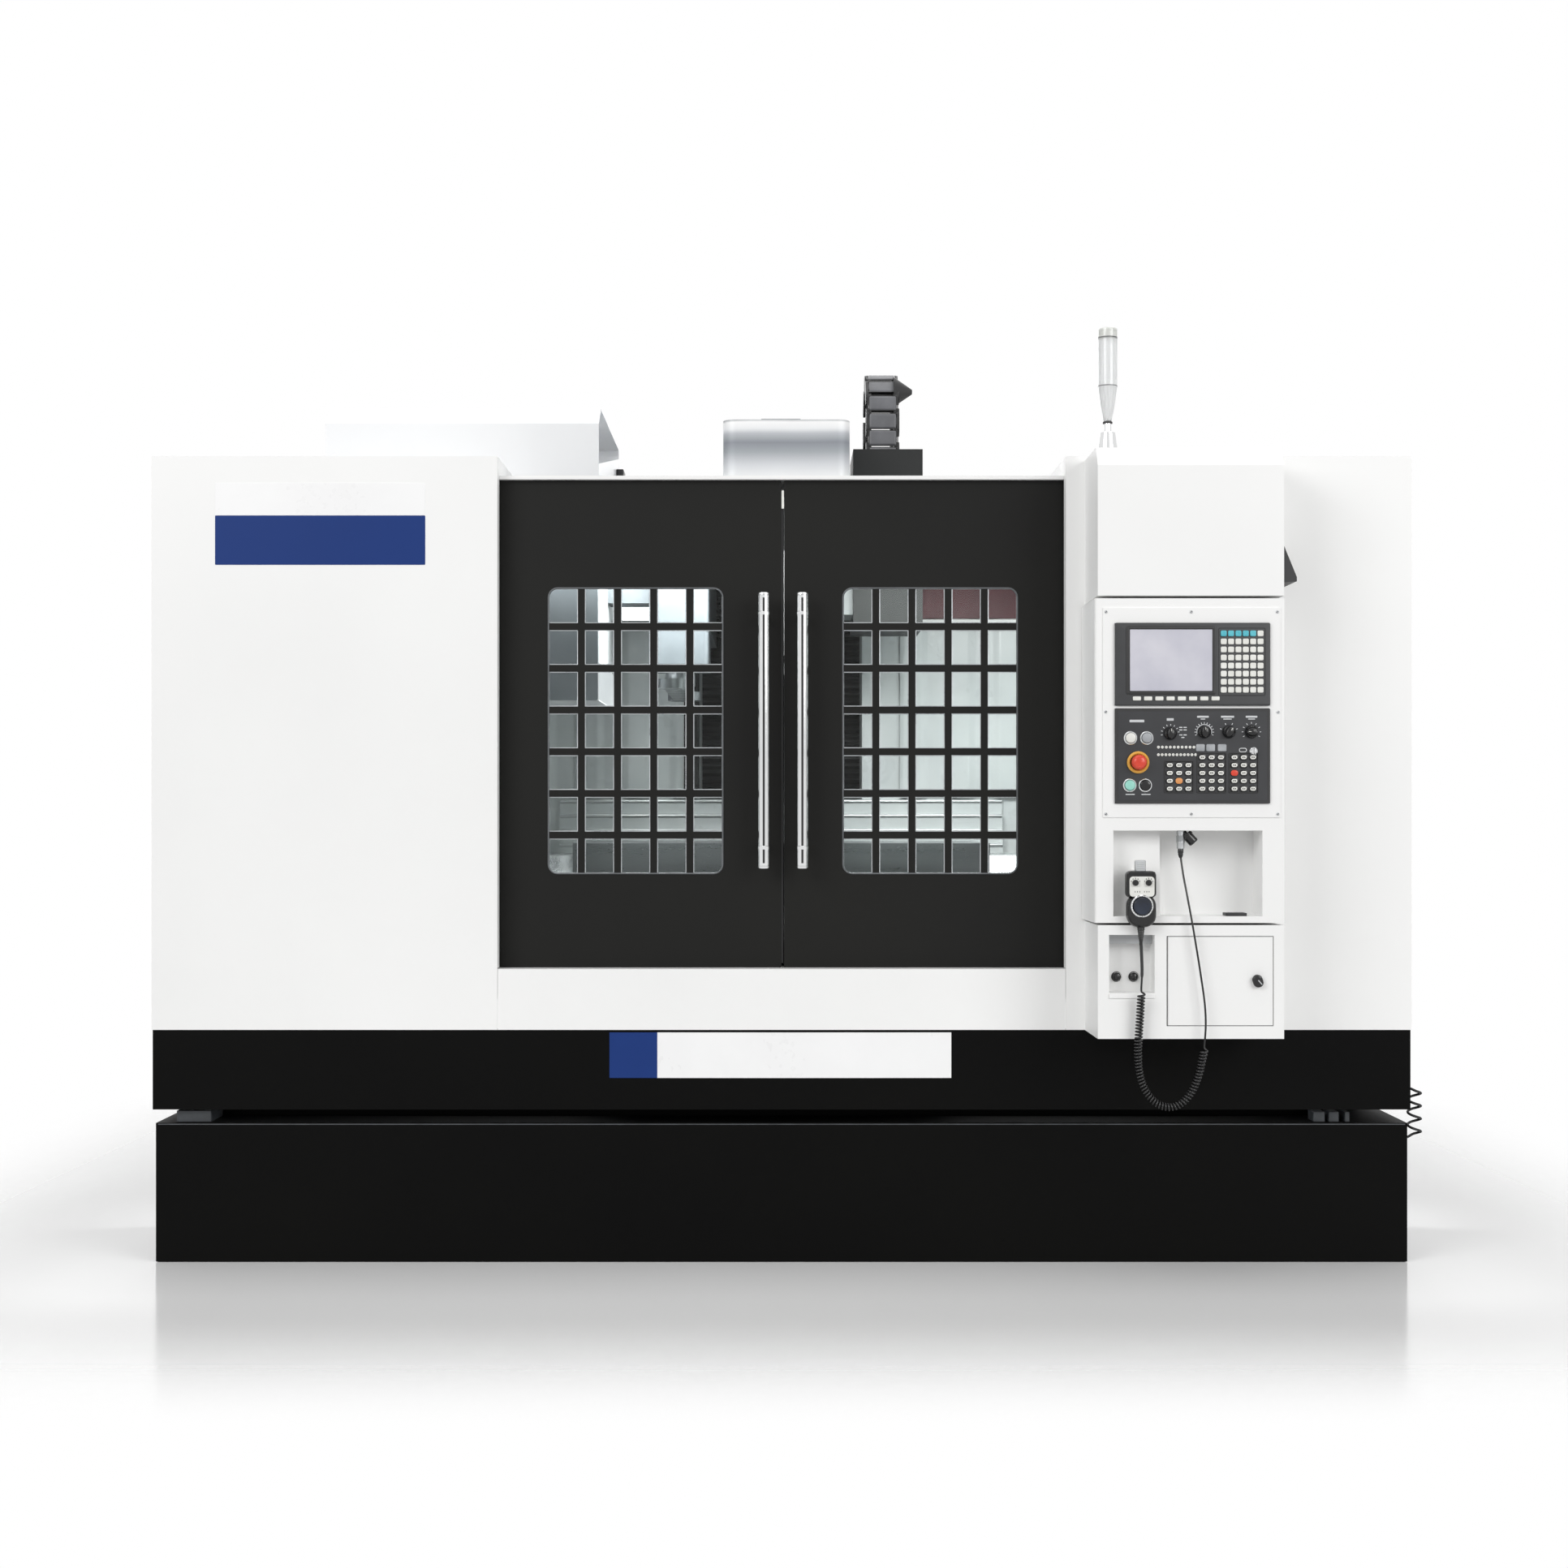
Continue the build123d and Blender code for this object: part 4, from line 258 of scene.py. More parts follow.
def add(tree, kind, values=None, links=None):
    """Adds one node: values set its settings or sockets by name, and links feed its sockets from outputs."""
    made = tree.nodes.new(kind)
    for name, value in (values or {}).items():
        if isinstance(name, str) and hasattr(made, name):
            setattr(made, name, value)
        else:
            made.inputs[name].default_value = value
    for name, source in (links or {}).items():
        tree.links.new(source, made.inputs[name])
    return made


def cleared(owner):
    """The empty node tree of a material or a world."""
    owner.use_nodes = True
    owner.node_tree.nodes.clear()
    return owner.node_tree


def finish(name, dark, light, rough, metallic=0.0, grain=2.0, relief=0.0, swing=0.05, stretch=(1, 1, 1),
           patch=300.0, shader=None):
    """A principled finish. Its colour wanders between dark and light over patches, and a finer grain,
    squeezed by stretch, moves the roughness by swing and lifts the surface by relief."""
    material = bpy.data.materials.new(name)
    tree = cleared(material)
    place = add(tree, "ShaderNodeTexCoord").outputs["Object"]
    squeezed = add(tree, "ShaderNodeMapping", {"Scale": stretch}, {"Vector": place}).outputs[0]
    broad = add(tree, "ShaderNodeTexNoise", {"Scale": 1000 / patch, "Detail": 5.0}, {"Vector": squeezed})
    fine = add(tree, "ShaderNodeTexNoise", {"Scale": 1000 / grain, "Detail": 3.0}, {"Vector": squeezed})
    # Noise lies mostly between 0.3 and 0.7, and the sum of the two between 0.6 and 1.4
    blend = add(tree, "ShaderNodeMix", {"data_type": "RGBA", 6: linear(dark), 7: linear(light)},
                {0: add(tree, "ShaderNodeMapRange", {1: 0.3, 2: 0.7}, {0: broad.outputs["Fac"]}).outputs[0]})
    mixed = add(tree, "ShaderNodeMath", {"operation": "ADD"},
                {0: fine.outputs["Fac"], 1: broad.outputs["Fac"]}).outputs[0]
    gloss = add(tree, "ShaderNodeMapRange", {1: 0.6, 2: 1.4, 3: max(rough - swing, 0.0), 4: rough + swing},
                {0: mixed})
    links = {"Base Color": blend.outputs[2], "Roughness": gloss.outputs[0]}
    if relief:
        bump = add(tree, "ShaderNodeBump", {"Distance": relief / 1000, "Strength": 1.0},
                   {"Height": fine.outputs["Fac"]})
        links["Normal"] = bump.outputs[0]
    surface = add(tree, "ShaderNodeBsdfPrincipled", {"Metallic": metallic, **(shader or {})}, links)
    add(tree, "ShaderNodeOutputMaterial", links={"Surface": surface.outputs[0]})
    return material


def painted_reflection_finish(name):
    """Polished stainless, its reflection painted as colour read from the height by a ramp, waved a little
    along the sheet.
    """
    material = finish(name, "#E0E1E2", "#ECEDED", 0.5, metallic=0.15, grain=2.5, swing=0.03,
                      stretch=(0.04, 0.04, 1), patch=500.0, shader={"Specular IOR Level": 0.15})
    tree = material.node_tree
    place = add(tree, "ShaderNodeTexCoord").outputs["Object"]
    wave = add(tree, "ShaderNodeTexNoise", {"Scale": 3.0, "Detail": 1.0}, {"Vector": place}).outputs["Fac"]
    height = add(tree, "ShaderNodeSeparateXYZ", links={0: place}).outputs["Z"]
    lifted = add(tree, "ShaderNodeMath", {"operation": "MULTIPLY_ADD", 1: 0.02},
                 {0: wave, 2: height}).outputs[0]
    # The wave lifts the height that is read by 10 mm on average
    low, high = REFLECTION_BANDS[0][0], REFLECTION_BANDS[-1][0]
    share = add(tree, "ShaderNodeMapRange", {1: low / 1000 + 0.01, 2: high / 1000 + 0.01}, {0: lifted})
    ramp = add(tree, "ShaderNodeValToRGB", links={0: share.outputs[0]})
    bands = ramp.color_ramp.elements
    for number, (z, colour) in enumerate(REFLECTION_BANDS):
        at = (z - low) / (high - low)
        band = bands[number] if number < 2 else bands.new(at)
        band.position, band.color = at, linear(colour)
    surface = next(node for node in tree.nodes if node.type == "BSDF_PRINCIPLED")
    tree.links.new(ramp.outputs[0], surface.inputs["Base Color"])
    return material


def floor_finish(name):
    """Pale painted floor, sealed and rolled: white, with the shadow and a soft sheen near the machine."""
    material = bpy.data.materials.new(name)
    tree = cleared(material)
    place = add(tree, "ShaderNodeTexCoord").outputs["Object"]
    roll = add(tree, "ShaderNodeTexNoise", {"Scale": 30.0, "Detail": 4.0}, {"Vector": place})
    gloss = add(tree, "ShaderNodeMapRange", {3: 0.1, 4: 0.16}, {0: roll.outputs["Fac"]})
    paint = add(tree, "ShaderNodeBsdfPrincipled", {"Base Color": linear("#FFFFFF"), "IOR": 1.6},
                {"Roughness": gloss.outputs[0]})
    # The floor fades into the white surroundings within 1.25 m of the machine's footprint, 3.4 by 3.2 m
    folded = add(tree, "ShaderNodeVectorMath", {"operation": "ABSOLUTE"}, {0: place}).outputs[0]
    beyond = add(tree, "ShaderNodeVectorMath", {"operation": "SUBTRACT", 1: (1.7, 1.58, 1.0)},
                 {0: folded}).outputs[0]
    outside = add(tree, "ShaderNodeVectorMath", {"operation": "MAXIMUM", 1: (0, 0, 0)},
                  {0: beyond}).outputs[0]
    away = add(tree, "ShaderNodeVectorMath", {"operation": "LENGTH"}, {0: outside}).outputs["Value"]
    far = add(tree, "ShaderNodeMapRange", {"interpolation_type": "SMOOTHSTEP", 1: 0.1, 2: 1.25},
              {0: away}).outputs[0]
    clear = add(tree, "ShaderNodeBsdfTransparent")
    both = add(tree, "ShaderNodeMixShader", links={0: far, 1: paint.outputs[0], 2: clear.outputs[0]})
    add(tree, "ShaderNodeOutputMaterial", links={"Surface": both.outputs[0]})
    return material


# What each finish is and how its surface was made, and what that gives the eye
FINISHES = {
    # Powder coat baked on sheet steel, white: satin with a faint orange peel, drawn at 4 mm
    "white_powder_coat": dict(dark="#F2F2F1", light="#F6F6F5", rough=0.42, grain=4.0, relief=0.02,
                              patch=700.0),
    # The same coat in black: a soft, wide highlight, and faint broad marks from wiping
    "black_powder_coat": dict(dark="#070707", light="#0A0A09", rough=0.5, grain=4.0, relief=0.03, patch=500.0,
                              shader={"Specular IOR Level": 0.06}),
    # The cable box's coat: black, faded to a dark grey
    "faded_black_coat": dict(dark="#2A2B2B", light="#313232", rough=0.5, grain=4.0, relief=0.03, patch=400.0,
                             shader={"Specular IOR Level": 0.2}),
    # The magazine hood's coat, a shade greyer than the covers
    "hood_powder_coat": dict(dark="#E2E3E5", light="#E8E9EA", rough=0.42, grain=4.0, relief=0.02,
                             patch=700.0),
    # Pale grey coat on a small bent plate, painting the shade across the top of the base's niche
    "niche_shade_grey": dict(dark="#AFB1B3", light="#B9BBBD", rough=0.45, grain=4.0, relief=0.02, patch=200.0),
    # Galvanised sheet with painted shade: darkened to a dull grey, with a soft spangle of 15 mm
    "galvanised_painted_shade": dict(dark="#2E3134", light="#45494D", rough=0.5, grain=15.0, swing=0.1, patch=40.0),
    # Fine-texture black coat on the doors, a shade paler and duller
    "door_powder_coat": dict(dark="#141413", light="#191917", rough=0.55, grain=3.0, relief=0.03, patch=600.0,
                             shader={"Specular IOR Level": 0.16}),
    # Light grey two-part enamel brushed over filler on the castings: soft waves of 12 mm
    "casting_enamel": dict(dark="#A9ACAD", light="#B7BABB", rough=0.4, grain=12.0, relief=0.12, patch=200.0),
    # Enamelled sheet inside the guard: pale grey, glossier, with dried splashes as duller patches
    "guard_enamel": dict(dark="#C9CDCE", light="#DADDDD", rough=0.32, grain=60.0, swing=0.1, patch=250.0),
    # Surface-ground steel: fine scratches across the part, drawn 1.5 mm apart
    "ground_steel": dict(dark="#8F9295", light="#A4A6A9", rough=0.3, metallic=1.0, grain=1.5, relief=0.01,
                         stretch=(0.08, 1, 1), patch=60.0, shader={"Anisotropic": 0.4}),
    # Stainless sheet, brushed along the depth: streaks 2 mm wide and long
    "brushed_stainless": dict(dark="#B4B6B8", light="#CDCFD0", rough=0.28, metallic=1.0, grain=2.0,
                              relief=0.01, stretch=(1, 0.03, 1), patch=40.0, shader={"Anisotropic": 0.5}),
    # Polished and plated tube: mirror bright, with faint finger marks
    "polished_chrome": dict(dark="#D4D5D6", light="#E2E3E3", rough=0.1, metallic=1.0, grain=30.0, swing=0.05),
    # Zinc plated fasteners: bright, slightly grey and cloudy
    "zinc_plate": dict(dark="#9C9EA0", light="#B9BBBC", rough=0.35, metallic=1.0, grain=3.0, swing=0.12),
    # The tool changer's gearbox: grey enamel on a fine casting, satin
    "gearbox_enamel": dict(dark="#676C71", light="#757A7F", rough=0.4, grain=12.0, relief=0.03, swing=0.05,
                           patch=200.0),
    # Sheet with a dark red enamel, wiped dull
    "red_enamel": dict(dark="#4A1A22", light="#5C232C", rough=0.4, grain=20.0, swing=0.06, patch=150.0),
    # Translucent polyethylene of the oil bottle, and the clear bowl of the air filter
    "milky_polyethylene": dict(dark="#DCDDD2", light="#EAEBE2", rough=0.4, grain=10.0, patch=60.0),
    # Glass-filled nylon, moulded: matt black with a spark-eroded grain, drawn at 2 mm
    "moulded_black_nylon": dict(dark="#161617", light="#222223", rough=0.5, grain=2.0, relief=0.05,
                                patch=60.0),
    # ABS, moulded dark grey: fine grain and a low sheen
    "moulded_grey_plastic": dict(dark="#2B2C2E", light="#333436", rough=0.45, grain=1.5, relief=0.02,
                                 patch=50.0),
    # Nylon lids of the cable chain: dark grey, satin, scuffed paler in places
    "satin_grey_nylon": dict(dark="#4C4D50", light="#66676B", rough=0.38, grain=2.0, relief=0.03, patch=90.0),
    # Black plastic moulded in a polished tool: a hard, small highlight
    "glossy_black": dict(dark="#0A0A0B", light="#121213", rough=0.16, grain=6.0, swing=0.04, patch=40.0),
    # The dial's lacquer: blue-black, smooth, with faint finger marks
    "dial_lacquer": dict(dark="#0B121D", light="#142033", rough=0.2, grain=10.0, swing=0.06, patch=30.0),
    # Turned brass under bright nickel, for the rings of the buttons
    "bright_ring": dict(dark="#C9CBCC", light="#DDDEDF", rough=0.22, metallic=1.0, grain=3.0, swing=0.06,
                        patch=30.0),
    # Cut edge of the window panes, ground and half polished
    "polished_edge": dict(dark="#9DA1A4", light="#B4B8BA", rough=0.3, metallic=0.4, grain=3.0, swing=0.08,
                          patch=80.0),
    # Opal acrylic over the wall lamp's diodes, lit: white with a soft glow
    "lamp_diffuser": dict(dark="#F1F4F5", light="#FBFCFC", rough=0.3, grain=8.0, patch=40.0,
                          shader={"Emission Color": (0.93, 0.97, 1.0, 1), "Emission Strength": 2.2}),
    # Printed polyester film under the keys: matt near-black
    "printed_film": dict(dark="#242528", light="#2B2C2F", rough=0.35, grain=6.0, patch=80.0),
    # Glazing strip of the door windows, extruded: mid grey, satin
    "window_seal": dict(dark="#55585A", light="#64676A", rough=0.5, grain=2.0, relief=0.02, patch=60.0),
    # Screen printing on the film under the keys: flat pale ink
    "pale_print": dict(dark="#C8CACC", light="#D6D8DA", rough=0.5, grain=5.0, patch=20.0),
    # Liquid crystal panel, off: a lilac grey film behind smooth glass
    "screen_film": dict(dark="#BEBECB", light="#D8D7DF", rough=0.12, grain=30.0, patch=160.0),
    # Self-adhesive plate, blank: semi-gloss white and blue film
    "white_plate": dict(dark="#F6F6F6", light="#FBFBFB", rough=0.3, grain=20.0, patch=200.0),
    "blue_plate": dict(dark="#27407C", light="#2E4985", rough=0.4, grain=20.0, patch=200.0,
                       shader={"Specular IOR Level": 0.12}),
    # Rubber seal and cable sheath, extruded: dull black with a slight bloom
    "extruded_rubber": dict(dark="#111112", light="#1B1B1C", rough=0.55, grain=1.5, relief=0.02, patch=25.0),
    # Polyurethane sheath of the curly cord: black and glossy, so that each turn catches the light
    "glossy_sheath": dict(dark="#0B0B0C", light="#151516", rough=0.2, grain=2.5, swing=0.06, patch=20.0),
    # Flat aluminium trim, satin anodised: pale grey, drawn lines along it
    "anodised_trim": dict(dark="#BFC1C3", light="#CFD1D2", rough=0.35, metallic=1.0, grain=1.5,
                          stretch=(1, 1, 0.05)),
    # Toughened glass pane, a touch of green from its iron; the low IOR keeps haze off the dark inside
    "toughened_glass": dict(dark="#E9F1EE", light="#F3F8F6", rough=0.02, grain=80.0, swing=0.01,
                            shader={"Transmission Weight": 1.0, "IOR": 1.2}),
    # Clear acrylic of the signal tower: ribs and rods inside scatter its light
    "clear_acrylic": dict(dark="#EEF0F1", light="#FAFBFB", rough=0.12, grain=6.0, swing=0.05,
                          shader={"Transmission Weight": 0.85, "IOR": 1.49}),
}
# Polycarbonate caps, moulded: smooth and glossy, each in its own colour
for cap, dark, light, rough in (
        ("white_cap", "#E4E4DE", "#EFEFEA", 0.25), ("cyan_cap", "#4CB4C4", "#63C4D1", 0.3),
        ("mint_cap", "#8FD3C4", "#A5E0D2", 0.25), ("red_cap", "#D23A26", "#E8503A", 0.25),
        ("orange_cap", "#D58A4C", "#E39C5E", 0.3), ("yellow_ring", "#E0A23A", "#EBB04A", 0.3),
        ("grey_cap", "#8E9296", "#B4B7BA", 0.35)):
    FINISHES[cap] = dict(dark=dark, light=light, rough=rough, grain=8.0, patch=30.0)
# Sheet rolled and polished, then left bare: bright, with a painted reflection as a broad grey band, as
# (height in mm, colour)
REFLECTION_BANDS = ((2200, "#EDEEEE"), (2292, "#F0F1F1"), (2334, "#D2D4D7"), (2376, "#A2A6AB"), (2404, "#8D9197"),
                (2432, "#B9BCC0"), (2448, "#E8E9EA"), (2468, "#F2F2F2"), (2478, "#9A9DA1"))
# Finishes with a node tree of their own, and the materials made so far
SPECIAL = {"stainless_painted_reflection": painted_reflection_finish, "sealed_white_floor": floor_finish}
MADE = {}


def stuff(name):
    """The material of that name, made when first asked for."""
    if name not in MADE:
        MADE[name] = SPECIAL[name](name) if name in SPECIAL else finish(name, **FINISHES[name])
    return MADE[name]


# The finish that each node of the frame wears
WORN = {
    "white_powder_coat": "left_cover right_cover door_header front_sill pendant_head_box"
                         " pendant_base_box console_box storage_door electrical_cabinet",
    "hood_powder_coat": "magazine_hood",
    "black_powder_coat": "coolant_tank machine_skirt",
    "faded_black_coat": "chain_box",
    "door_powder_coat": "left_door_panel right_door_panel",
    "guard_enamel": "splash_back",
    "casting_enamel": "bed_casting column_casting saddle headstock",
    "gearbox_enamel": "changer_gearbox",
    "ground_steel": "levelling_feet table spindle magazine_disc changer_arm",
    # The motor cover's stainless carries a painted reflection: a grey band read from the height
    "stainless_painted_reflection": "motor_cover",
    "brushed_stainless": "y_cover_outer y_cover_inner x_covers_outer x_covers_inner"
                         " x_cover_left_mid x_cover_right_mid",
    "polished_chrome": "left_door_handle right_door_handle tower_light_base cord_plug power_off_button"
                       " key_switch",
    "toughened_glass": "left_door_glass right_door_glass",
    "clear_acrylic": "tower_light_lens",
    "moulded_black_nylon": "cable_chain storage_latch mode_knob feed_knob rapid_knob spindle_speed_knob"
                           " handset_body handset_dial feed_hold_button",
    "moulded_grey_plastic": "display_unit operator_panel",
    "white_cap": "power_on_button",
    "mint_cap": "cycle_start_button",
    "red_cap": "estop_button",
    "extruded_rubber": "cord_lead_lower cord_coil cord_lead_upper side_cable",
}


def dress_frame():
    """Gives every CAD node its material by name."""
    for name, nodes in WORN.items():
        for node in nodes.split():
            for place in NODES[node].material_slots:
                place.material = stuff(name)


# Stage


def lamp(name, at, aim, size, power):
    """A soft box at a point in metres, aimed at another, with its size in metres and its power in watts."""
    data = bpy.data.lights.new(name, "AREA")
    data.shape, data.size, data.size_y, data.energy = "RECTANGLE", size[0], size[1], power
    made = bpy.data.objects.new(name, data)
    bpy.context.scene.collection.objects.link(made)
    made.location = at
    way = np.asarray(aim, float) - at
    rise = math.atan2(way[2], math.hypot(way[0], way[1]))
    made.rotation_euler = (math.pi / 2 + rise, 0, math.atan2(way[1], way[0]) - math.pi / 2)


def build_studio(look):
    """Floor, pale surroundings, soft boxes and the camera at the photograph's place."""
    scene = bpy.context.scene
    scene.view_settings.view_transform = "Standard"
    world = bpy.data.worlds.new("pale_studio")
    scene.world = world
    tree = cleared(world)
    # The surroundings are white to the camera, through glass and in reflections, and softer as a light
    seen = add(tree, "ShaderNodeLightPath")
    either = add(tree, "ShaderNodeMath", {"operation": "MAXIMUM"},
                 {0: seen.outputs["Is Camera Ray"], 1: seen.outputs["Is Transmission Ray"]}).outputs[0]
    any_of = add(tree, "ShaderNodeMath", {"operation": "MAXIMUM"},
                 {0: either, 1: seen.outputs["Is Glossy Ray"]}).outputs[0]
    level = add(tree, "ShaderNodeMapRange", {3: look.air, 4: 1.0}, {0: any_of})
    glow = add(tree, "ShaderNodeBackground", {"Color": (1, 1, 1, 1)}, {"Strength": level.outputs[0]})
    add(tree, "ShaderNodeOutputWorld", links={"Surface": glow.outputs[0]})

    # The floor is 30 m square and lies 2 mm under the feet
    half, under = 15000.0, -2
    floor = slab((-half, -half, under - 10), (half, half, under))
    piece("floor", floor, "sealed_white_floor", body=None)

    for name, at, aim, size, power in (
            ("key_soft_box", (-5.5, -8.0, 5.2), (0, -1, 1.2), (5, 4), 430),
            ("fill_soft_box", (6.0, -8.0, 4.2), (0, -1, 1.2), (5, 4), 410),
            ("top_soft_box", (0, 0.0, 6.5), (0, 0, 0), (7, 6), 210),
            ("rear_soft_box", (0, 8.0, 5.0), (0, 0, 1.2), (6, 4), 260),
            ("work_light", row((0, 900, 2040)), row((0, 1100, 0)), (1.7, 0.4), 50)):
        lamp(name, at, aim, size, power * look.lamps)

    # The viewpoint, lens and shift that the photograph was taken with, level
    data = bpy.data.cameras.new("camera")
    data.lens, data.sensor_width = 48.45, 36.0
    data.shift_x, data.shift_y = 0.0031, 0.0228
    camera = bpy.data.objects.new("camera", data)
    scene.collection.objects.link(camera)
    camera.location = row((-6.6, -5694, 1193))
    camera.rotation_euler = (math.pi / 2, 0, 0)
    scene.camera = camera


# Cords

# The hand-wheel cord's route in millimetres, (x, depth, z), as in the part's source: lead, coil, lead
LEAD_LOWER = [(926, -254, 879), (928, -255, 838), (929, -256.5, 796)]
COIL_LINE = [(925.5, -257, 752), (924.5, -257, 700), (920, -257, 642), (917.5, -257, 587), (921, -257, 537),
             (934, -257, 496), (962, -257, 461), (999, -257, 449), (1034, -257, 462), (1060, -257, 495),
             (1076, -257, 537), (1085, -257, 582), (1088, -257, 606)]
LEAD_UPPER = [(1092, -257, 640), (1093, -257, 680), (1090, -256, 725), (1083, -256, 772), (1076, -255, 820),
              (1068, -254, 870), (1060, -252, 920), (1052, -248, 968), (1045, -238, 1014), (1040, -222, 1055),
              (1037, -208, 1097)]


def spline_curve(name, points, smooth, diameter=0.0):
    """A curve object of one NURBS spline with these control points, in millimetres, and a round section."""
    data = bpy.data.curves.new(name, "CURVE")
    data.dimensions = "3D"
    spline = data.splines.new("NURBS")
    spline.points.add(len(points) - 1)
    spline.points.foreach_set("co", np.column_stack([row(points), np.ones(len(points))]).ravel())
    spline.order_u = 3
    spline.use_endpoint_u = True
    data.resolution_u = smooth
    if diameter:
        data.bevel_depth = diameter / 2000
        data.bevel_resolution = 3
        data.use_fill_caps = True
    made = bpy.data.objects.new(name, data)
    bpy.context.scene.collection.objects.link(made)
    return made


def read_line(points):
    """The line of the route's own NURBS spline, read back from the curve, in millimetres."""
    guide = spline_curve("route_guide", points, 24)
    mesh = bpy.data.meshes.new_from_object(guide)
    flat = np.empty(len(mesh.vertices) * 3)
    mesh.vertices.foreach_get("co", flat)
    data = guide.data
    bpy.data.objects.remove(guide)
    bpy.data.curves.remove(data)
    bpy.data.meshes.remove(mesh)
    return (flat.reshape(-1, 3) - (0, FRONT, 0)) * 1000


def helix_along(line, radius, turns, per_turn):
    """Points of a helix beside a line, evenly spaced: P = C(s) + r (N cos a + B sin a) - r N w(s). The angle
    a grows evenly with the length s, except that it starts and stops gently over the ease, and w falls from
    one to nothing over three eases, so that both ends leave along the line itself without a kink."""
    ease = 14.0
    step = np.linalg.norm(np.diff(line, axis=0), axis=1)
    length = np.concatenate([[0], np.cumsum(step)])
    # Steps of well under 0.1 mm, so that sums over them serve as integrals
    s = np.linspace(0, length[-1], 24000)
    centre = np.column_stack([np.interp(s, length, line[:, i]) for i in range(3)])
    run = np.gradient(centre, axis=0)
    run /= np.linalg.norm(run, axis=1, keepdims=True)
    side = np.array([0.0, 1.0, 0.0]) - run[:, 1:2] * run
    side /= np.linalg.norm(side, axis=1, keepdims=True)
    other = np.cross(run, side)
    near = np.minimum(s, length[-1] - s)
    angle = np.cumsum(np.clip(near / ease, 0, 1))
    angle *= 2 * math.pi * turns / angle[-1]
    w = np.clip(1 - near / (3 * ease), 0, 1)
    w = w * w * (3 - 2 * w)
    wound = centre + radius * (side * (np.cos(angle) - w)[:, None] + other * np.sin(angle)[:, None])
    far = np.concatenate([[0], np.cumsum(np.linalg.norm(np.diff(wound, axis=0), axis=1))])
    even = np.linspace(0, far[-1], int(turns * per_turn) + 1)
    return np.column_stack([np.interp(even, far, wound[:, i]) for i in range(3)])


def cord_length(points):
    """Length in metres of the line of a NURBS spline with these control points in millimetres."""
    return float(np.linalg.norm(np.diff(read_line(points), axis=0), axis=1).sum() / 1000)


def build_hand_cord(look):
    """The curly cord of the hand wheel: straight leads and a close coil hanging in a loop, one spline, with
    the sleeve on its lower lead and the plug that its upper end goes into."""
    line = read_line(LEAD_LOWER + COIL_LINE + LEAD_UPPER)
    first = int(np.argmin(np.linalg.norm(line - COIL_LINE[0], axis=1)))
    last = int(np.argmin(np.linalg.norm(line - COIL_LINE[-1], axis=1)))
    radius, per_turn = (look.coil_width - look.wire) / 2, 12
    wound = helix_along(line[first:last + 1], radius, look.coil_turns, per_turn)
    points = np.concatenate([LEAD_LOWER, wound, LEAD_UPPER])
    made = spline_curve("hand_wheel_cord", points, 3, look.wire)
    made.data.materials.append(stuff("glossy_sheath"))
    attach(made, "console")
    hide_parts("cord_lead_lower", "cord_coil", "cord_lead_upper")

    # The sleeve is a tube through every fourth point of the lead's own line, tapered at its foot
    foot, taper, head = 786, 792, 874
    lead = read_line(points[:6])
    lead = lead[(lead[:, 2] < head) & (lead[:, 2] > foot)][::4]
    thick = np.interp(lead[:, 2], [foot, taper, head], [look.wire / 2 + 0.3, 3.9, 4.1])
    sleeve = piece("cord_sleeve", tube(lead, thick, sides=20), "extruded_rubber", "console")
    # The plug hangs from the niche's ceiling: a barrel with ten knurled rings, and a tapered boot below it
    plug_at = (1037, -208, 1165)
    knurl = [(r, 14 + k * 1.6 + d) for k in range(10) for r, d in ((11.3, 0.0), (10.7, 0.8))]
    profile = [(9.2, 0), (10.4, 1), (10.4, 9), (9.4, 10), (9.4, 13), *knurl, (10.9, 31), (10.0, 33),
               (10.0, 46), (8.4, 48)]
    barrel = piece("plug_barrel", placed(turned(profile, 48), plug_at, "down"), "zinc_plate", "console")
    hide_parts("cord_plug")
    profile = [(7.0, 47.6), (7.4, 49), (7.4, 58), (6.6, 59), (6.6, 61), (6.9, 62), (5.4, 67), (3.6, 71),
               (2.8, 72)]
    boot = piece("plug_boot", placed(turned(profile, 36), plug_at, "down"), "glossy_black", "console")
    cord_length(points)


def build_side_cable(look):
    """The short coiled cable from the skirt's gland down to the tank's, one spline with 3.5 turns in it."""
    x, y, top, bottom = 1725.0, 60.0, 462.0, 327.0
    turns, per_turn = 3.5, 14
    angle = np.linspace(0, 2 * math.pi * turns, int(turns * per_turn) + 1) - math.pi / 2
    t = np.linspace(0, 1, len(angle))
    wound = np.column_stack([x + look.side_coil * np.cos(angle), y + look.side_coil * np.sin(angle),
                             top + (bottom - top) * (t * 0.9 + 0.05)])
    points = np.concatenate([[(1700, 60, 465), (1709, 50, 463)], wound, [(1709, 71, 325), (1693, 60, 324)]])
    made = spline_curve("side_cable_coil", points, 4, 7.0)
    made.data.materials.append(stuff("extruded_rubber"))
    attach(made, "frame")
    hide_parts("side_cable")
    cord_length(points)


# Pieces


def button(radius, low, high, edge, dish=0.0):
    """Profile of a round cap, foot to crown: its edge a quarter circle, its crown sunk by the dish."""
    rim = [(radius - inset, at) for inset, at in cushion(high, edge, 5)]
    return [(radius, low)] + rim + [((radius - edge) * 0.6, high - dish * 0.8), (0.5, high - dish)]


def ring(inner, outer, low, high, edge=0.6, sides=48):
    """A washer with broken edges: a closed loop of (radius, height) corners turned once round the axis."""
    loop = [(outer, low), (outer, high - edge), (outer - edge, high), (inner + edge, high),
            (inner, high - edge), (inner, low)]
    return turned(loop, sides, wrap=True)


def frame_ring(width, height, radius, loop, steps=6):
    """A rounded rectangular frame, its section a closed loop of (inset, height) pairs."""
    return moulded(width, height, radius, loop, steps=steps, wrap=True)


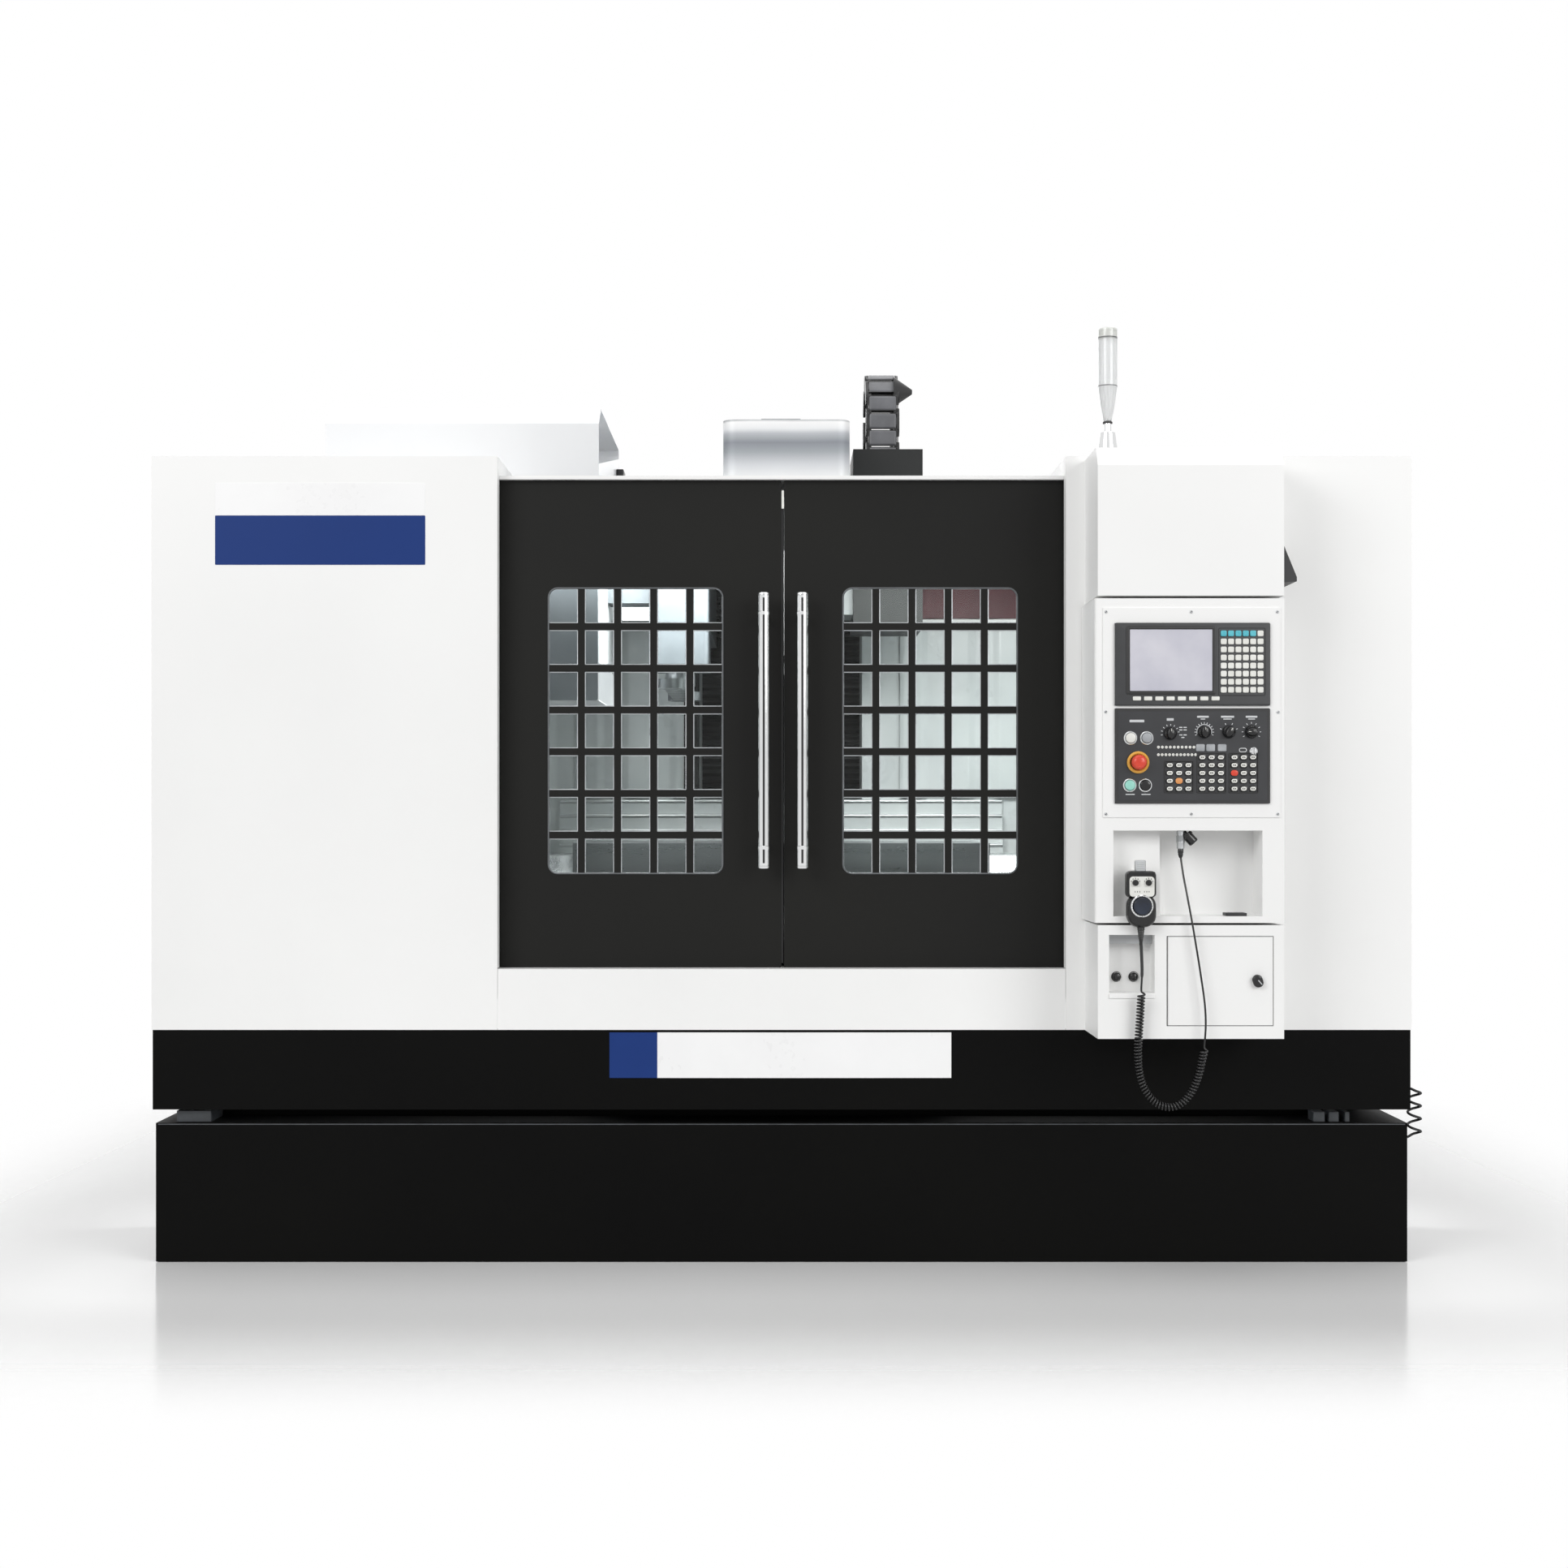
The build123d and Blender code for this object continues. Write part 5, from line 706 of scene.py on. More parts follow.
def key_cap(width, height, radius, high, edge, foot=0.0, steps=4):
    """A key or grip: a rounded rectangle from its foot to a top edge rounded by a quarter circle."""
    return moulded(width, height, radius, [(0, foot)] + cushion(high, edge), steps=steps)


def bar(width, height, radius, thick):
    """A flat bar or mark with its corners cut, as thick as given."""
    return moulded(width, height, radius, [(0, 0), (0, thick)], steps=2)


def grid(first, pitch, counts):
    """Offsets of a grid in the (x, 0, z) plane: first corner, pitch and how many each way."""
    i, j = np.meshgrid(np.arange(counts[0]), np.arange(counts[1]))
    return np.column_stack([first[0] + i.ravel() * pitch[0], np.zeros(i.size),
                            first[1] + j.ravel() * pitch[1]])


def aimed(shape, at, along):
    """The shape with its own height turned along a direction, and moved to a point in millimetres."""
    w = np.asarray(along, float) / np.linalg.norm(along)
    u = np.cross((0, 1, 0) if abs(w[1]) < 0.9 else (0, 0, 1), w)
    u /= np.linalg.norm(u)
    return outward((shape[0] @ np.array([u, np.cross(w, u), w]) + at, shape[1]))


def front_of(node):
    """Depth in millimetres of a node's foremost point."""
    return (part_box(node)[0].y - FRONT) * 1000


def plate_finish(name, colour):
    """The plate's film in the colour that the panel holds, over its own faint clouding."""
    for node in stuff(name).node_tree.nodes:
        if node.type == "MIX":
            node.inputs[6].default_value = (*[c * 0.96 for c in colour], 1)
            node.inputs[7].default_value = (*colour, 1)


def build_blank_plates(look):
    """Two blank plates: white above blue on the left cover, blue beside white on the skirt."""
    plate_finish("white_plate", look.pale)
    plate_finish("blue_plate", look.deep)
    for name, high, z, film in (("cover_plate_pale", 88, 2058, "white_plate"),
                                ("cover_plate_deep", 133, 1947.3, "blue_plate")):
        piece(name, placed(moulded(567, high, 2, [(0, 0), (0, 0.6), (0.3, 0.9)]), (-1245, 0, z)), film)
    # A thin banner on the skirt, whose face swells: P = (x, z, 1.2 + 2 sin(pi t)), t running along it
    left, seam, right, low, high = -464.3, -335.1, 457.7, 496.6, 619.2
    for name, start, end, film in (("skirt_plate_deep", left, seam, "blue_plate"),
                                   ("skirt_plate_pale", seam, right, "white_plate")):
        across = np.linspace(start, end, 60)
        swell = 1.2 + 2.0 * np.sin(math.pi * (across - left) / (right - left))
        banner = strip([(across, low, 0), (across, low, swell), (across, high, swell), (across, high, 0)])
        piece(name, placed(banner, (0, front_of("machine_skirt"), 0)), film)


def build_window_seals():
    """Glazing strip round each door window, the panes' bright edges, the seal, and painted light in the
    doors' top gap.
    """
    depth, middle, first_row = 60.0, 1435.5, 1094.35
    pitch = (98.6, 113.71)
    seal = frame_ring(479, 782, 27, [(0, -1), (0, 1.0), (1.0, 1.8), (2.8, 1.8), (3.8, 0.8), (4.6, -3)])
    pane = frame_ring(79.6, 94.7, 2.5, [(0, 0.1), (0, 1.0), (2.4, 0.5), (2.4, 0.1)], steps=3)
    for side, x in (("left", -398), ("right", 405)):
        piece(side + "_window_seal", placed(seal, (x, depth, middle)), "window_seal", side + "_door")
        panes = grid((x - 2 * pitch[0], first_row), pitch, (5, 7))
        piece(side + "_pane_edges", copies(placed(pane, (0, depth + 3, 0)), panes), "polished_edge",
              side + "_door")
    lip = slab((-4.6, depth + 5, 802), (6.6, depth + 14, 2092), 3)
    piece("door_meeting_seal", lip, "extruded_rubber", "left_door")
    # A white strip at the top of the doors' gap: painted light, standing for the light seen through it
    guide = moulded(6.6, 50, 1.5, [(0, 0.1), (0, 1.2), (0.6, 1.8)], steps=3)
    piece("door_gap_painted_light", placed(guide, (3.2, depth, 2066)), "white_cap", "left_door")


def build_handle_collars():
    """Polished collars and end caps on the two door handles, and a black strip along each grip that paints
    its dark reflection line.
    """
    foot, head = 1066, 1801
    # A black strip down each grip's front: a painted reflection of the chrome tube's dark middle line
    dark_reflection_line = extruded(arc_band(16.9, 15.6, -100, -80, 7), (foot + 10, head - 10))
    cap = turned(button(17.2, -2.0, 5.0, 3.0))
    for side, x in (("left", -48), ("right", 56)):
        axis = front_of(side + "_door_handle") + 16.5
        collars = [placed(ring(15.5, 17.6, -5, 5, 1.2), (x, axis, z), "up") for z in (1118, 1750)]
        ends = [placed(cap, (x, axis, head), "up"), placed(cap, (x, axis, foot), "down")]
        piece(side + "_handle_collars", collars + ends, "polished_chrome", side + "_door")
        piece(side + "_handle_reflection_line", placed(dark_reflection_line, (x, axis, 0), "up"), "extruded_rubber", side + "_door")


def build_display():
    """The display unit: raised bezel, glass, keypad and soft keys, all in one dark housing."""
    screen = (1005.5, DISPLAY, 1605)
    shell = moulded(401, 214, 4, [(0, -22), (0, 6.0), (1.5, 7.6), (4.5, 8.0)])
    made = piece("display_housing", placed(shell, (PANEL_X, PLATE, 1595)), "moulded_grey_plastic", "console")
    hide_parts("display_unit")
    bezel = frame_ring(232, 178, 6, [(0, 0), (0, 1.6), (1.2, 2.4), (7.5, 2.4), (10.0, 0.2), (10.0, 0)])
    piece("screen_bezel", placed(bezel, screen), "moulded_black_nylon", "console")
    glass = moulded(212.5, 158.5, 1.5, [(0, 0), (0, 0.5), (0.4, 0.8)])
    piece("screen_face", placed(glass, screen), "screen_film", "console")
    # The keys' tops are dished, and those of the first columns' upper rows are blue
    dished = moulded(15.4, 15.0, 3.2, [(0, 0)] + cushion(3.6, 1.6) + [(4.5, 3.1)], steps=4)
    cap = placed(dished, (0, DISPLAY, 0))
    keys = grid((1141, 1674), (19, -20.8), (6, 8))
    blue = (keys[:, 2] > 1670) & (keys[:, 0] < 1220)
    piece("address_keys", copies(cap, keys[~blue]), "white_cap", "console")
    piece("mode_keys", copies(cap, keys[blue]), "cyan_cap", "console")
    soft = placed(key_cap(21, 10.5, 2.2, 3.2, 1.3), (0, DISPLAY, 0))
    piece("soft_keys", copies(soft, grid((917, 1506), (29, 0), (8, 1))), "white_cap", "console")
    tray = frame_ring(122, 176, 4, [(0, 0), (0, 0.5), (0.5, 0.9), (1.6, 0.9), (2.0, 0)])
    piece("keypad_border", placed(tray, (1188.5, DISPLAY, 1601)), "moulded_black_nylon", "console")


# The operator panel's round buttons: place, finish and slot of the cap
BUTTONS = {
    "power_on_button": (901, 1404, "white_cap", "white_plastic"),
    "power_off_button": (943, 1404, "grey_cap", "chrome"),
    "cycle_start_button": (899, 1282, "mint_cap", "green_plastic"),
    "feed_hold_button": (939, 1282, "glossy_black", "black_plastic"),
}
# Its knobs: place, how far each is turned, and its scale's radius, number of marks, first and last angle
KNOBS = {
    "mode_knob": (1003.5, 1416, 0, (22, 8, 10, 190)),
    "feed_knob": (1091.5, 1420, 0, (23, 13, -20, 200)),
    "rapid_knob": (1155, 1420, -35, (22, 4, 20, 160)),
    "spindle_speed_knob": (1213.3, 1420, 90, (23, 9, -30, 210)),
}
# Its stop and its key switch, as (x, z)
STOP_AT = (920, 1341)
KEY_AT = (1219, 1370)


def build_operator_panel():
    """The operator panel: printed face, sunk key groups, rings, scales, legends and lamps."""
    middle = 1358
    shell = moulded(401, 246, 3, [(0, -24), (0, 4.6), (1.2, 6.0)])
    made = piece("panel_housing", placed(shell, (PANEL_X, PLATE, middle)), "moulded_black_nylon", "console")
    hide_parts("operator_panel")
    film = moulded(385, 230, 2, [(0, 0), (0, 0.35), (0.15, 0.5)])
    front = PANEL - 0.5
    piece("panel_film", placed(film, (PANEL_X, PANEL, middle)), "printed_film", "console")
    rims, keys, places = [], [], []
    cap = placed(key_cap(20.5, 16.5, 7.0, 2.6, 1.1), (0, front, 0))
    for x, z, rows in ((1026, 1303.8, 4), (1110, 1314, 5), (1193, 1314, 5)):
        high = rows * 20.5 + 2
        rim = frame_ring(77, high, 3, [(0, 0), (0, 1.6), (0.8, 2.2), (2.4, 2.2), (3.4, 0.4), (3.4, 0)])
        rims.append(placed(rim, (x, front, z)))
        places.append(grid((x - 24, z - high / 2 + 11.3), (24, 20.3), (3, rows)))
        keys.append(copies(cap, places[-1]))
    piece("key_group_rims", rims, "moulded_black_nylon", "console")
    piece("group_keys", keys, "glossy_black", "console")
    build_key_marks(np.concatenate(places), front)
    build_legends(front)
    dots = np.concatenate([grid((973, 1380.5), (10.2, 0), (10, 1)), grid((973, 1361), (9.6, 0), (11, 1))])
    lens, pip = ring(1.5, 3.7, 0, 0.8, 0.3, 14), turned([(1.2, 0), (1.2, 0.6), (0.3, 0.8)], 10)
    piece("lamp_rows", [copies(placed(one, (0, front, 0)), dots) for one in (lens, pip)], "white_cap",
          "console")
    small = placed(key_cap(22.5, 18.5, 3.0, 2.8, 1.2), (0, front, 0))
    piece("override_keys", copies(small, [(x, 0, 1379) for x in (1081.2, 1107.7, 1137.3)]), "grey_cap",
          "console")
    stop = placed(ring(20.5, 28.5, 0, 10.0, 2.5), (STOP_AT[0], PANEL, STOP_AT[1]))
    piece("stop_ring", stop, "yellow_ring", "console")
    rings = [placed(ring(13.6, 17.6, 0, 3.4, 1.2), (x, PANEL, z)) for x, z, *_ in BUTTONS.values()]
    rings += [placed(ring(6.2, 10.5, 0, 1.6, 0.6), (KEY_AT[0], PANEL, KEY_AT[1])),
              placed(frame_ring(20, 11, 5, [(0, 0), (0, 1.0), (1.8, 1.0), (1.8, 0)], steps=5),
                     (1191, front, 1373))]
    piece("button_rings", rings, "bright_ring", "console")


def build_key_marks(places, front):
    """The pale oval and dot on each key of the groups, and the two keys that are red and orange all over."""
    oval = frame_ring(15.0, 10.0, 4.9, [(0, 0), (0, 0.7), (0.5, 1.0), (2.9, 1.0), (3.3, 0.4), (3.3, 0)],
                      steps=5)
    dot = bar(4.6, 1.5, 0.6, 0.35)
    full = placed(key_cap(18.5, 15, 6.6, 2.4, 1.1, steps=5), (0, front - 1.5, 0))
    red, orange = (np.argmin(np.linalg.norm(places - at, axis=1))
                   for at in ((1169, 0, 1311), (1026, 0, 1289)))
    plain = np.delete(places, [red, orange], axis=0)
    marks = [copies(placed(one, (0, front - high, 0)), plain) for one, high in ((oval, 2.4), (dot, 2.6))]
    piece("key_ovals", marks, "white_cap", "console")
    piece("key_oval_red", copies(full, places[[red]]), "red_cap", "console")
    piece("key_oval_orange", copies(full, places[[orange]]), "orange_cap", "console")


def build_legends(front):
    """Blank bars where the real face has legends, and the marks set out on arcs round the four knobs."""
    # Bars as (x, z, width, height): over the knobs, in pairs beside the mode knob, and under the buttons
    bars = [(917.5, 1448, 38, 6.5), (1003.5, 1452, 18, 6.5), (1088, 1459, 30, 5), (1151.5, 1459, 34, 5),
            (1213.5, 1459, 30, 5), (1088, 1453, 12, 2.5), (1151.5, 1453, 22, 2.5), (1213.5, 1453, 18, 2.5)]
    bars += [(x, z, 8.6, 2.8) for z in (1431.5, 1425, 1412) for x in (1031, 1042)] + [(1036, 1405.5, 8, 2.8)]
    bars += [(x, 1258.5, 24, 2.6) for x in (900, 941)]
    print_edge = [(0, 0), (0, 0.25), (0.15, 0.4)]
    piece("label_bars", [placed(moulded(w, h, 1, print_edge), (x, front, z)) for x, z, w, h in bars],
          "pale_print", "console")
    tick = bar(4.6, 1.9, 0.5, 0.3)
    marks = []
    for x, z, _, (radius, count, first, last) in KNOBS.values():
        for angle in np.linspace(first, last, count):
            c, s = math.cos(math.radians(angle)), math.sin(math.radians(angle))
            marks.append(placed(tick, (x + radius * c, front, z + radius * s), turn=angle))
    # A solid arc joins the marks of the feed knob
    x, z, *_ = KNOBS["feed_knob"]
    marks.append(placed(extruded(arc_band(20.2, 18.2, -15, 195, 40), (0, 0.35)), (x, front, z)))
    piece("knob_scales", marks, "pale_print", "console")


def build_buttons():
    """Domed caps on the round buttons, the stop's mushroom head, the fluted knobs, and the key."""
    cap = turned(button(12.9, -14, 0.6, 2.0, -0.8))
    for name, (x, z, colour, slot) in BUTTONS.items():
        made = piece(name + "_cap", placed(cap, (x, PANEL - 8, z)), colour, name)
        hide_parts(name)
    # The mushroom head: r = 20 (cos a) to the power 0.55, so that it is fuller than a ball
    dome = [(9.8, -22), (9.8, 0), (17.5, 0), (19.6, 1.2)]
    dome += [(20 * math.cos(a) ** 0.55 if a < 1.5 else 0.5, 3 + 14.5 * math.sin(a))
             for a in np.linspace(0, math.pi / 2, 8)]
    made = piece("estop_mushroom", placed(turned(dome, 48), (STOP_AT[0], PANEL - 16.5, STOP_AT[1])),
                 "red_cap", "estop")
    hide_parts("estop_button")
    # A knob's plan is a fluted circle, narrowed at each height by that height's last number
    plan = fluted(96, 24, 0.03)
    grip = stacked([(plan * (radius * slim, radius), high) for radius, high, slim in
                    ((16.6, 0, 1), (16.6, 6.0, 1), (15.6, 8.5, 0.98), (15.0, 10.5, 0.8), (14.8, 15, 0.7),
                     (13.8, 18.5, 0.66), (11.0, 20.3, 0.62), (0.5, 20.8, 0.6))])
    foot = PANEL - 0.4
    for name, (x, z, turn, _) in KNOBS.items():
        made = piece(name + "_grip", placed(grip, (x, foot, z), turn=turn), "glossy_black", name)
        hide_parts(name)
        a = math.radians(turn)
        tip = (x - 8 * math.sin(a), foot - 20.2, z + 8 * math.cos(a))
        piece(name + "_pointer", placed(bar(1.4, 7.0, 0.5, 0.5), tip, turn=turn), "white_cap", name)
    barrel = turned([(8.4, 0), (8.4, 4.5), (7.6, 5.4), (0.5, 5.6)])
    bow = key_cap(2.4, 15.0, 1.1, 19.0, 0.8, foot=5.0)
    both = [placed(one, (KEY_AT[0], foot, KEY_AT[1])) for one in (barrel, bow)]
    made = piece("key_and_barrel", both, "polished_chrome", "key_switch")
    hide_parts("key_switch")


def build_handset():
    """The hand wheel: a box with a silver hanger, pale face and two selectors, and its dial."""
    x, back, selectors, selector_z, dial_z = 926, -237.0, (909, 943), 1031, 971
    front = back - 34
    head = moulded(77, 69, 12, [(0, 0.3), (0, 24), (2.5, 30), (6, 32.5)])
    body = moulded(74, 86, 31, [(0, 0.3), (0, 25), (3, 31), (7, 34)], steps=10)
    brow = moulded(70, 9, 4, [(0, 0.3), (0, 31), (1.5, 33.5)])
    box = [placed(head, (x, back, 1026.5)), placed(body, (x + 1, back, 959)), placed(brow, (x, back, 1055))]
    made = piece("handset_housing", box, "glossy_black", "console")
    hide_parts("handset_body")
    face = moulded(64, 52, 9, [(0, 0), (0, 1.2), (0.8, 2.2)])
    piece("handset_face", placed(face, (x, front + 1, 1021)), "white_cap", "console")
    knob = turned([(8.2, 0), (7.8, 7), (6.6, 9), (0.5, 9.3)], 28)
    grip = key_cap(3.6, 14.6, 1.6, 9.9, 0.4, foot=6.0, steps=3)
    for at in selectors:
        both = [placed(one, (at, front, selector_z)) for one in (knob, grip)]
        piece("selector_%d" % at, both, "glossy_black", "console")
    # Five marks on an arc over each selector, and six in a line below, three each side
    marks = [(at + 11.4 * math.sin(a), 0, selector_z + 11.4 * math.cos(a)) for at in selectors
             for a in (-1.2, -0.6, 0, 0.6, 1.2)]
    marks += [(x + k * 6, 0, 1008) for k in (-3, -2, -1, 1, 2, 3)]
    piece("selector_marks", copies(placed(bar(1.6, 3.6, 0.4, 0.3), (0, front - 1.2, 0)), marks),
          "moulded_black_nylon", "console")
    piece("dial_ring", placed(ring(23.6, 29.0, 0, 4.0, 1.6, 64), (x, front, dial_z)), "polished_chrome",
          "console")
    tick = bar(0.9, 2.6, 0.3, 0.25)
    ticks = [placed(tick, (x + 26.3 * math.cos(a), front - 3.9, dial_z + 26.3 * math.sin(a)),
                    turn=math.degrees(a) - 90) for a in np.radians(np.arange(0, 360, 15))]
    piece("dial_marks", ticks, "moulded_black_nylon", "console")
    foot = front - 0.4
    dish = [(20, 0.0), (22.6, 0.4), (23.0, 4), (22.4, 8.2), (20.6, 9.6), (15, 9.4), (12, 9.0), (0.5, 8.8)]
    wheel = [placed(turned(dish, 60), (x, foot, dial_z)),
             placed(ring(2.6, 4.4, 8.6, 9.8, 0.5, 24), (x + 15.0, foot, dial_z + 6))]
    made = piece("dial_wheel", wheel, "dial_lacquer", "handset_dial")
    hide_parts("handset_dial")
    # The cord's strain relief: seven ribs, each narrower than the one before
    ribs = [(11.0, -2), (11.0, 0)]
    for k in range(7):
        ribs += [(10.4 - k * 0.85, 2 + k * 6.0), (9.2 - k * 0.8, 2.6 + k * 6.0),
                 (9.2 - k * 0.8, 6.0 + k * 6.0), (9.6 - k * 0.85, 6.6 + k * 6.0)]
    relief = turned(ribs + [(4.4, 46.0)], 28)
    piece("handset_relief", placed(relief, (x, -254, 917), "down"), "glossy_black", "console")
    hanger = [placed(moulded(27, 30, 4, [(0, 0), (0, 9), (2, 11)]), (x, back - 4, 1074))]
    hanger += [placed(moulded(20, 2.2, 0.8, [(0, 0), (0, 0.9), (0.5, 1.3)], steps=3), (x, back - 15, z))
               for z in (1068, 1073, 1078, 1083)]
    piece("handset_hanger", hanger, "zinc_plate", "console")


def build_console_trim():
    """Plate screws, the things in the niches, the latch knob and the vent hood on the head box."""
    places = [(838.6, 0, 1730.6), (1059.2, 0, 1730.6), (1281.8, 0, 1730.6), (838, 0, 1472), (1284, 0, 1471),
              (838.6, 0, 1207.7), (1059.2, 0, 1207.7), (1282.8, 0, 1207.7)]
    screw = placed(turned(button(3.9, 0, 2.2, 1.1, 0.3), 24), (0, PLATE, 0))
    piece("plate_screws", copies(screw, places), "zinc_plate", "console")
    # A black bar on each screw head paints the shade in its slot
    slot_shade = placed(bar(5.6, 1.5, 0.3, 0.25), (0, PLATE - 1.95, 0), turn=35)
    piece("plate_screw_slot_shade", copies(slot_shade, places), "moulded_black_nylon", "console")
    # In the niche: a black dust cap that leans out beside the plug, and a flat black rest on the floor
    cap = (turned(button(13.5, 0, 32, 5), 36), ring(12.5, 15.2, 3, 9, 1.2),
           turned([(5, -9), (5.4, -7), (5.4, 1), (4, 2)], 24))
    leaning = [aimed(one, (1051, -208, 1156), (0.66, -0.15, -0.75)) for one in cap]
    piece("spare_socket_cap", leaning, "glossy_black", "console")
    piece("niche_rest", slab((1153, -222, 943.4), (1207, -172, 951), 4), "moulded_black_nylon", "console")
    wedge = [(1299.4, 1909), (1335.0, 1822), (1335.0, 1811.0), (1299.4, 1808.0)]
    piece("vent_hood", extruded(wedge, (-226, -49.2), 1), "moulded_black_nylon")
    # The base's niche: two sockets with rings, three screws, a grey valance above that paints the shade
    # there, and a ledge below
    back = -164
    plugs = [placed(one, (x, back, 782)) for x in (877, 922)
             for one in (turned(button(11.6, 0, 12, 5.5, -1.2), 36), ring(11.0, 13.6, 0, 3.0, 1.0))]
    piece("base_sockets", plugs, "glossy_black")
    heads = [placed(turned(button(2.6, 0, 1.8, 0.8, 0.2), 16), (x, back, z))
             for x, z in ((853, 803), (945, 803), (853, 757))]
    piece("base_niche_screws", heads, "moulded_grey_plastic")
    # The valance is painted shade: a grey slab where the niche's top falls into shadow
    piece("base_niche_shade_valance", slab((847.6, -196, 870), (964.4, back - 0.5, 894.6)), "niche_shade_grey")
    ledge = placed(moulded(120, 13, 2, [(0, 0), (0, 2.4), (1.2, 3.6)]), (906, PENDANT, 737))
    piece("base_niche_ledge", ledge, "white_powder_coat")
    foot = front_of("storage_latch") + 11
    knob = moulded(25, 33, 12.4, [(0, 0), (1.5, 1.0), (1.5, 6.0)] + cushion(13.0, 4.5), steps=8)
    made = piece("latch_knob", placed(knob, (1231, foot, 776), turn=18), "glossy_black", "storage_latch")
    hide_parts("storage_latch")
    key_slot = placed(moulded(3.0, 15, 1.2, [(0, 0), (0, 0.9), (0.5, 1.3)], steps=3),
                      (1235, foot - 12.6, 773), turn=40)
    piece("latch_key_slot", key_slot, "zinc_plate", "storage_latch")


def build_chain_covers():
    """Snap-on covers over the cable chain's links: each a lid with rounded edges, square to its link."""
    # The chain's place, link pitch, bend radius, thickness and top, as in the part's source
    x, pitch, bend, thick, top, links = 349, 57.85, 130.0, 56.0, 2589.0, 7
    middle = WALL - 0.3 - thick / 2 - bend
    step = 180 / links
    reach = bend * math.cos(math.radians(step / 2))
    # Each link as (depth, height, angle): down the front strand, then round the bend
    places = [(-bend, top - (i + 0.5) * pitch, 90.0) for i in range(links)]
    for i in range(links):
        a = math.radians((i + 0.5) * step)
        places.append((-reach * math.cos(a), top + reach * math.sin(a), 90 - math.degrees(a)))
    # The top link and the strand behind go without: there is no room above them and at the wall
    places = [at for at in places if at[2] > -60 and abs(at[2]) > 1]
    lid, lid_faces = moulded(92, 50, 5, [(0, 0), (0, 3.0), (3.0, 5.5), (6.0, 6.0)], steps=3)
    rim, rim_faces = frame_ring(106, 55, 3, [(0, 0), (0, 1.4), (0.8, 2.0), (3.4, 2.0), (4.0, 0)], steps=3)
    lids, rims = [], []
    for y, z, angle in places:
        c, s = math.cos(math.radians(angle)), math.sin(math.radians(angle))
        # Across the link, along the chain, and outwards from its bend
        out = np.array([0, -s, c])
        facing = np.array([[1, 0, 0], [0, c, s], out])
        at = np.array([x, middle + y, z]) + out * (thick / 2 - 3)
        lids.append(outward((lid @ facing + at, lid_faces)))
        rims.append(outward((rim @ facing + at + out * 1.2, rim_faces)))
    piece("chain_lids", lids, "satin_grey_nylon", "cable_chain")
    piece("chain_lid_rims", rims, "moulded_black_nylon", "cable_chain")


def build_tower():
    """The signal tower: a fluted core, r (1 + 0.045 cos 12 a), in the clear lens, with a grooved cap."""
    at = (854, -165, 0)
    plan = fluted(96, 12, 0.045)
    profile = [(3, 2234), (9.4, 2238), (14.5, 2268), (18.5, 2300), (19.5, 2330), (19.5, 2446), (17.5, 2451),
               (3, 2452)]
    core = stacked([(plan * radius, z) for radius, z in profile])
    grooves = [placed(ring(24.5, 25.35, z - 0.9, z + 0.9, 0.3), at, "up") for z in (2328, 2454.5)]
    cap = [(20, 2456.5), (24.8, 2456.5), (24.8, 2470), (23.6, 2475.5), (19.0, 2478.6), (0.5, 2479.0)]
    collar = ring(9.4, 12.6, 2230.5, 2235.5, 1.0, 40)
    piece("tower_core", placed(core, at, "up"), "white_plate")
    piece("tower_grooves", grooves, "moulded_grey_plastic")
    piece("tower_cap", placed(turned(cap, 48), at, "up"), "white_cap")
    piece("tower_collar", placed(collar, at, "up"), "moulded_black_nylon")


def build_guard_inside():
    """What the windows show: folded wall sheets, the column's way covers, the apron's lips, a wall lamp."""
    # A folded sheet, 11 mm before the wall: its depth swings 6 mm either way in a trapezium wave of x
    fold = 172
    along = np.linspace(0, 5 * fold, 173)
    wave = WALL - 11 - 6 * np.clip(2.2 * np.sin(2 * math.pi * along / fold), -1, 1)
    foot, head = 1272, 2104
    for name, across, depth in (("left_wall_folds", -300 - along, wave),
                                ("right_wall_folds", 425 + along[:148], wave[:148])):
        sheet = [(across, depth + back, z) for back, z in ((0, foot), (0, head), (2, head), (2, foot))]
        piece(name, strip(sheet), "guard_enamel")
    # Pleats of a way cover, 26 mm each: the depth is a triangle wave of z
    z = np.linspace(1275, 2100, 131)
    back, pleat = 2036, 2002 + 36 * np.abs((z / 26) % 1 - 0.5)
    for name, x0, x1 in (("left_way_cover", -287, -207), ("right_way_cover", 207, 287)):
        piece(name, strip([(x0, back, z), (x1, back, z), (x1, pleat, z), (x0, pleat, z)]), "extruded_rubber")
    # A half-round lip along the top of each step of the apron
    steps, deep, high, half = 5, 12, 51.8, 788
    a = np.linspace(0, math.pi, 9)
    half_round = np.column_stack([-5 * np.sin(a), 6.5 * np.cos(a)])
    lips = [extruded(half_round + (WALL - deep * (steps - i), 1006 + (i + 1) * high - 7), (-half, half), 0)
            for i in range(steps)]
    piece("apron_lips", lips, "anodised_trim")
    lamp_at = (-494, 1842, 1950)
    shell = frame_ring(176, 128, 14, [(0, 0), (0, 22), (4, 27), (12, 27), (16, 22), (16, 0)])
    piece("wall_lamp_frame", placed(shell, lamp_at), "moulded_grey_plastic")
    lens = moulded(146, 98, 8, [(0, 0), (0, 19), (4, 22)])
    piece("wall_lamp_lens", placed(lens, lamp_at), "lamp_diffuser")


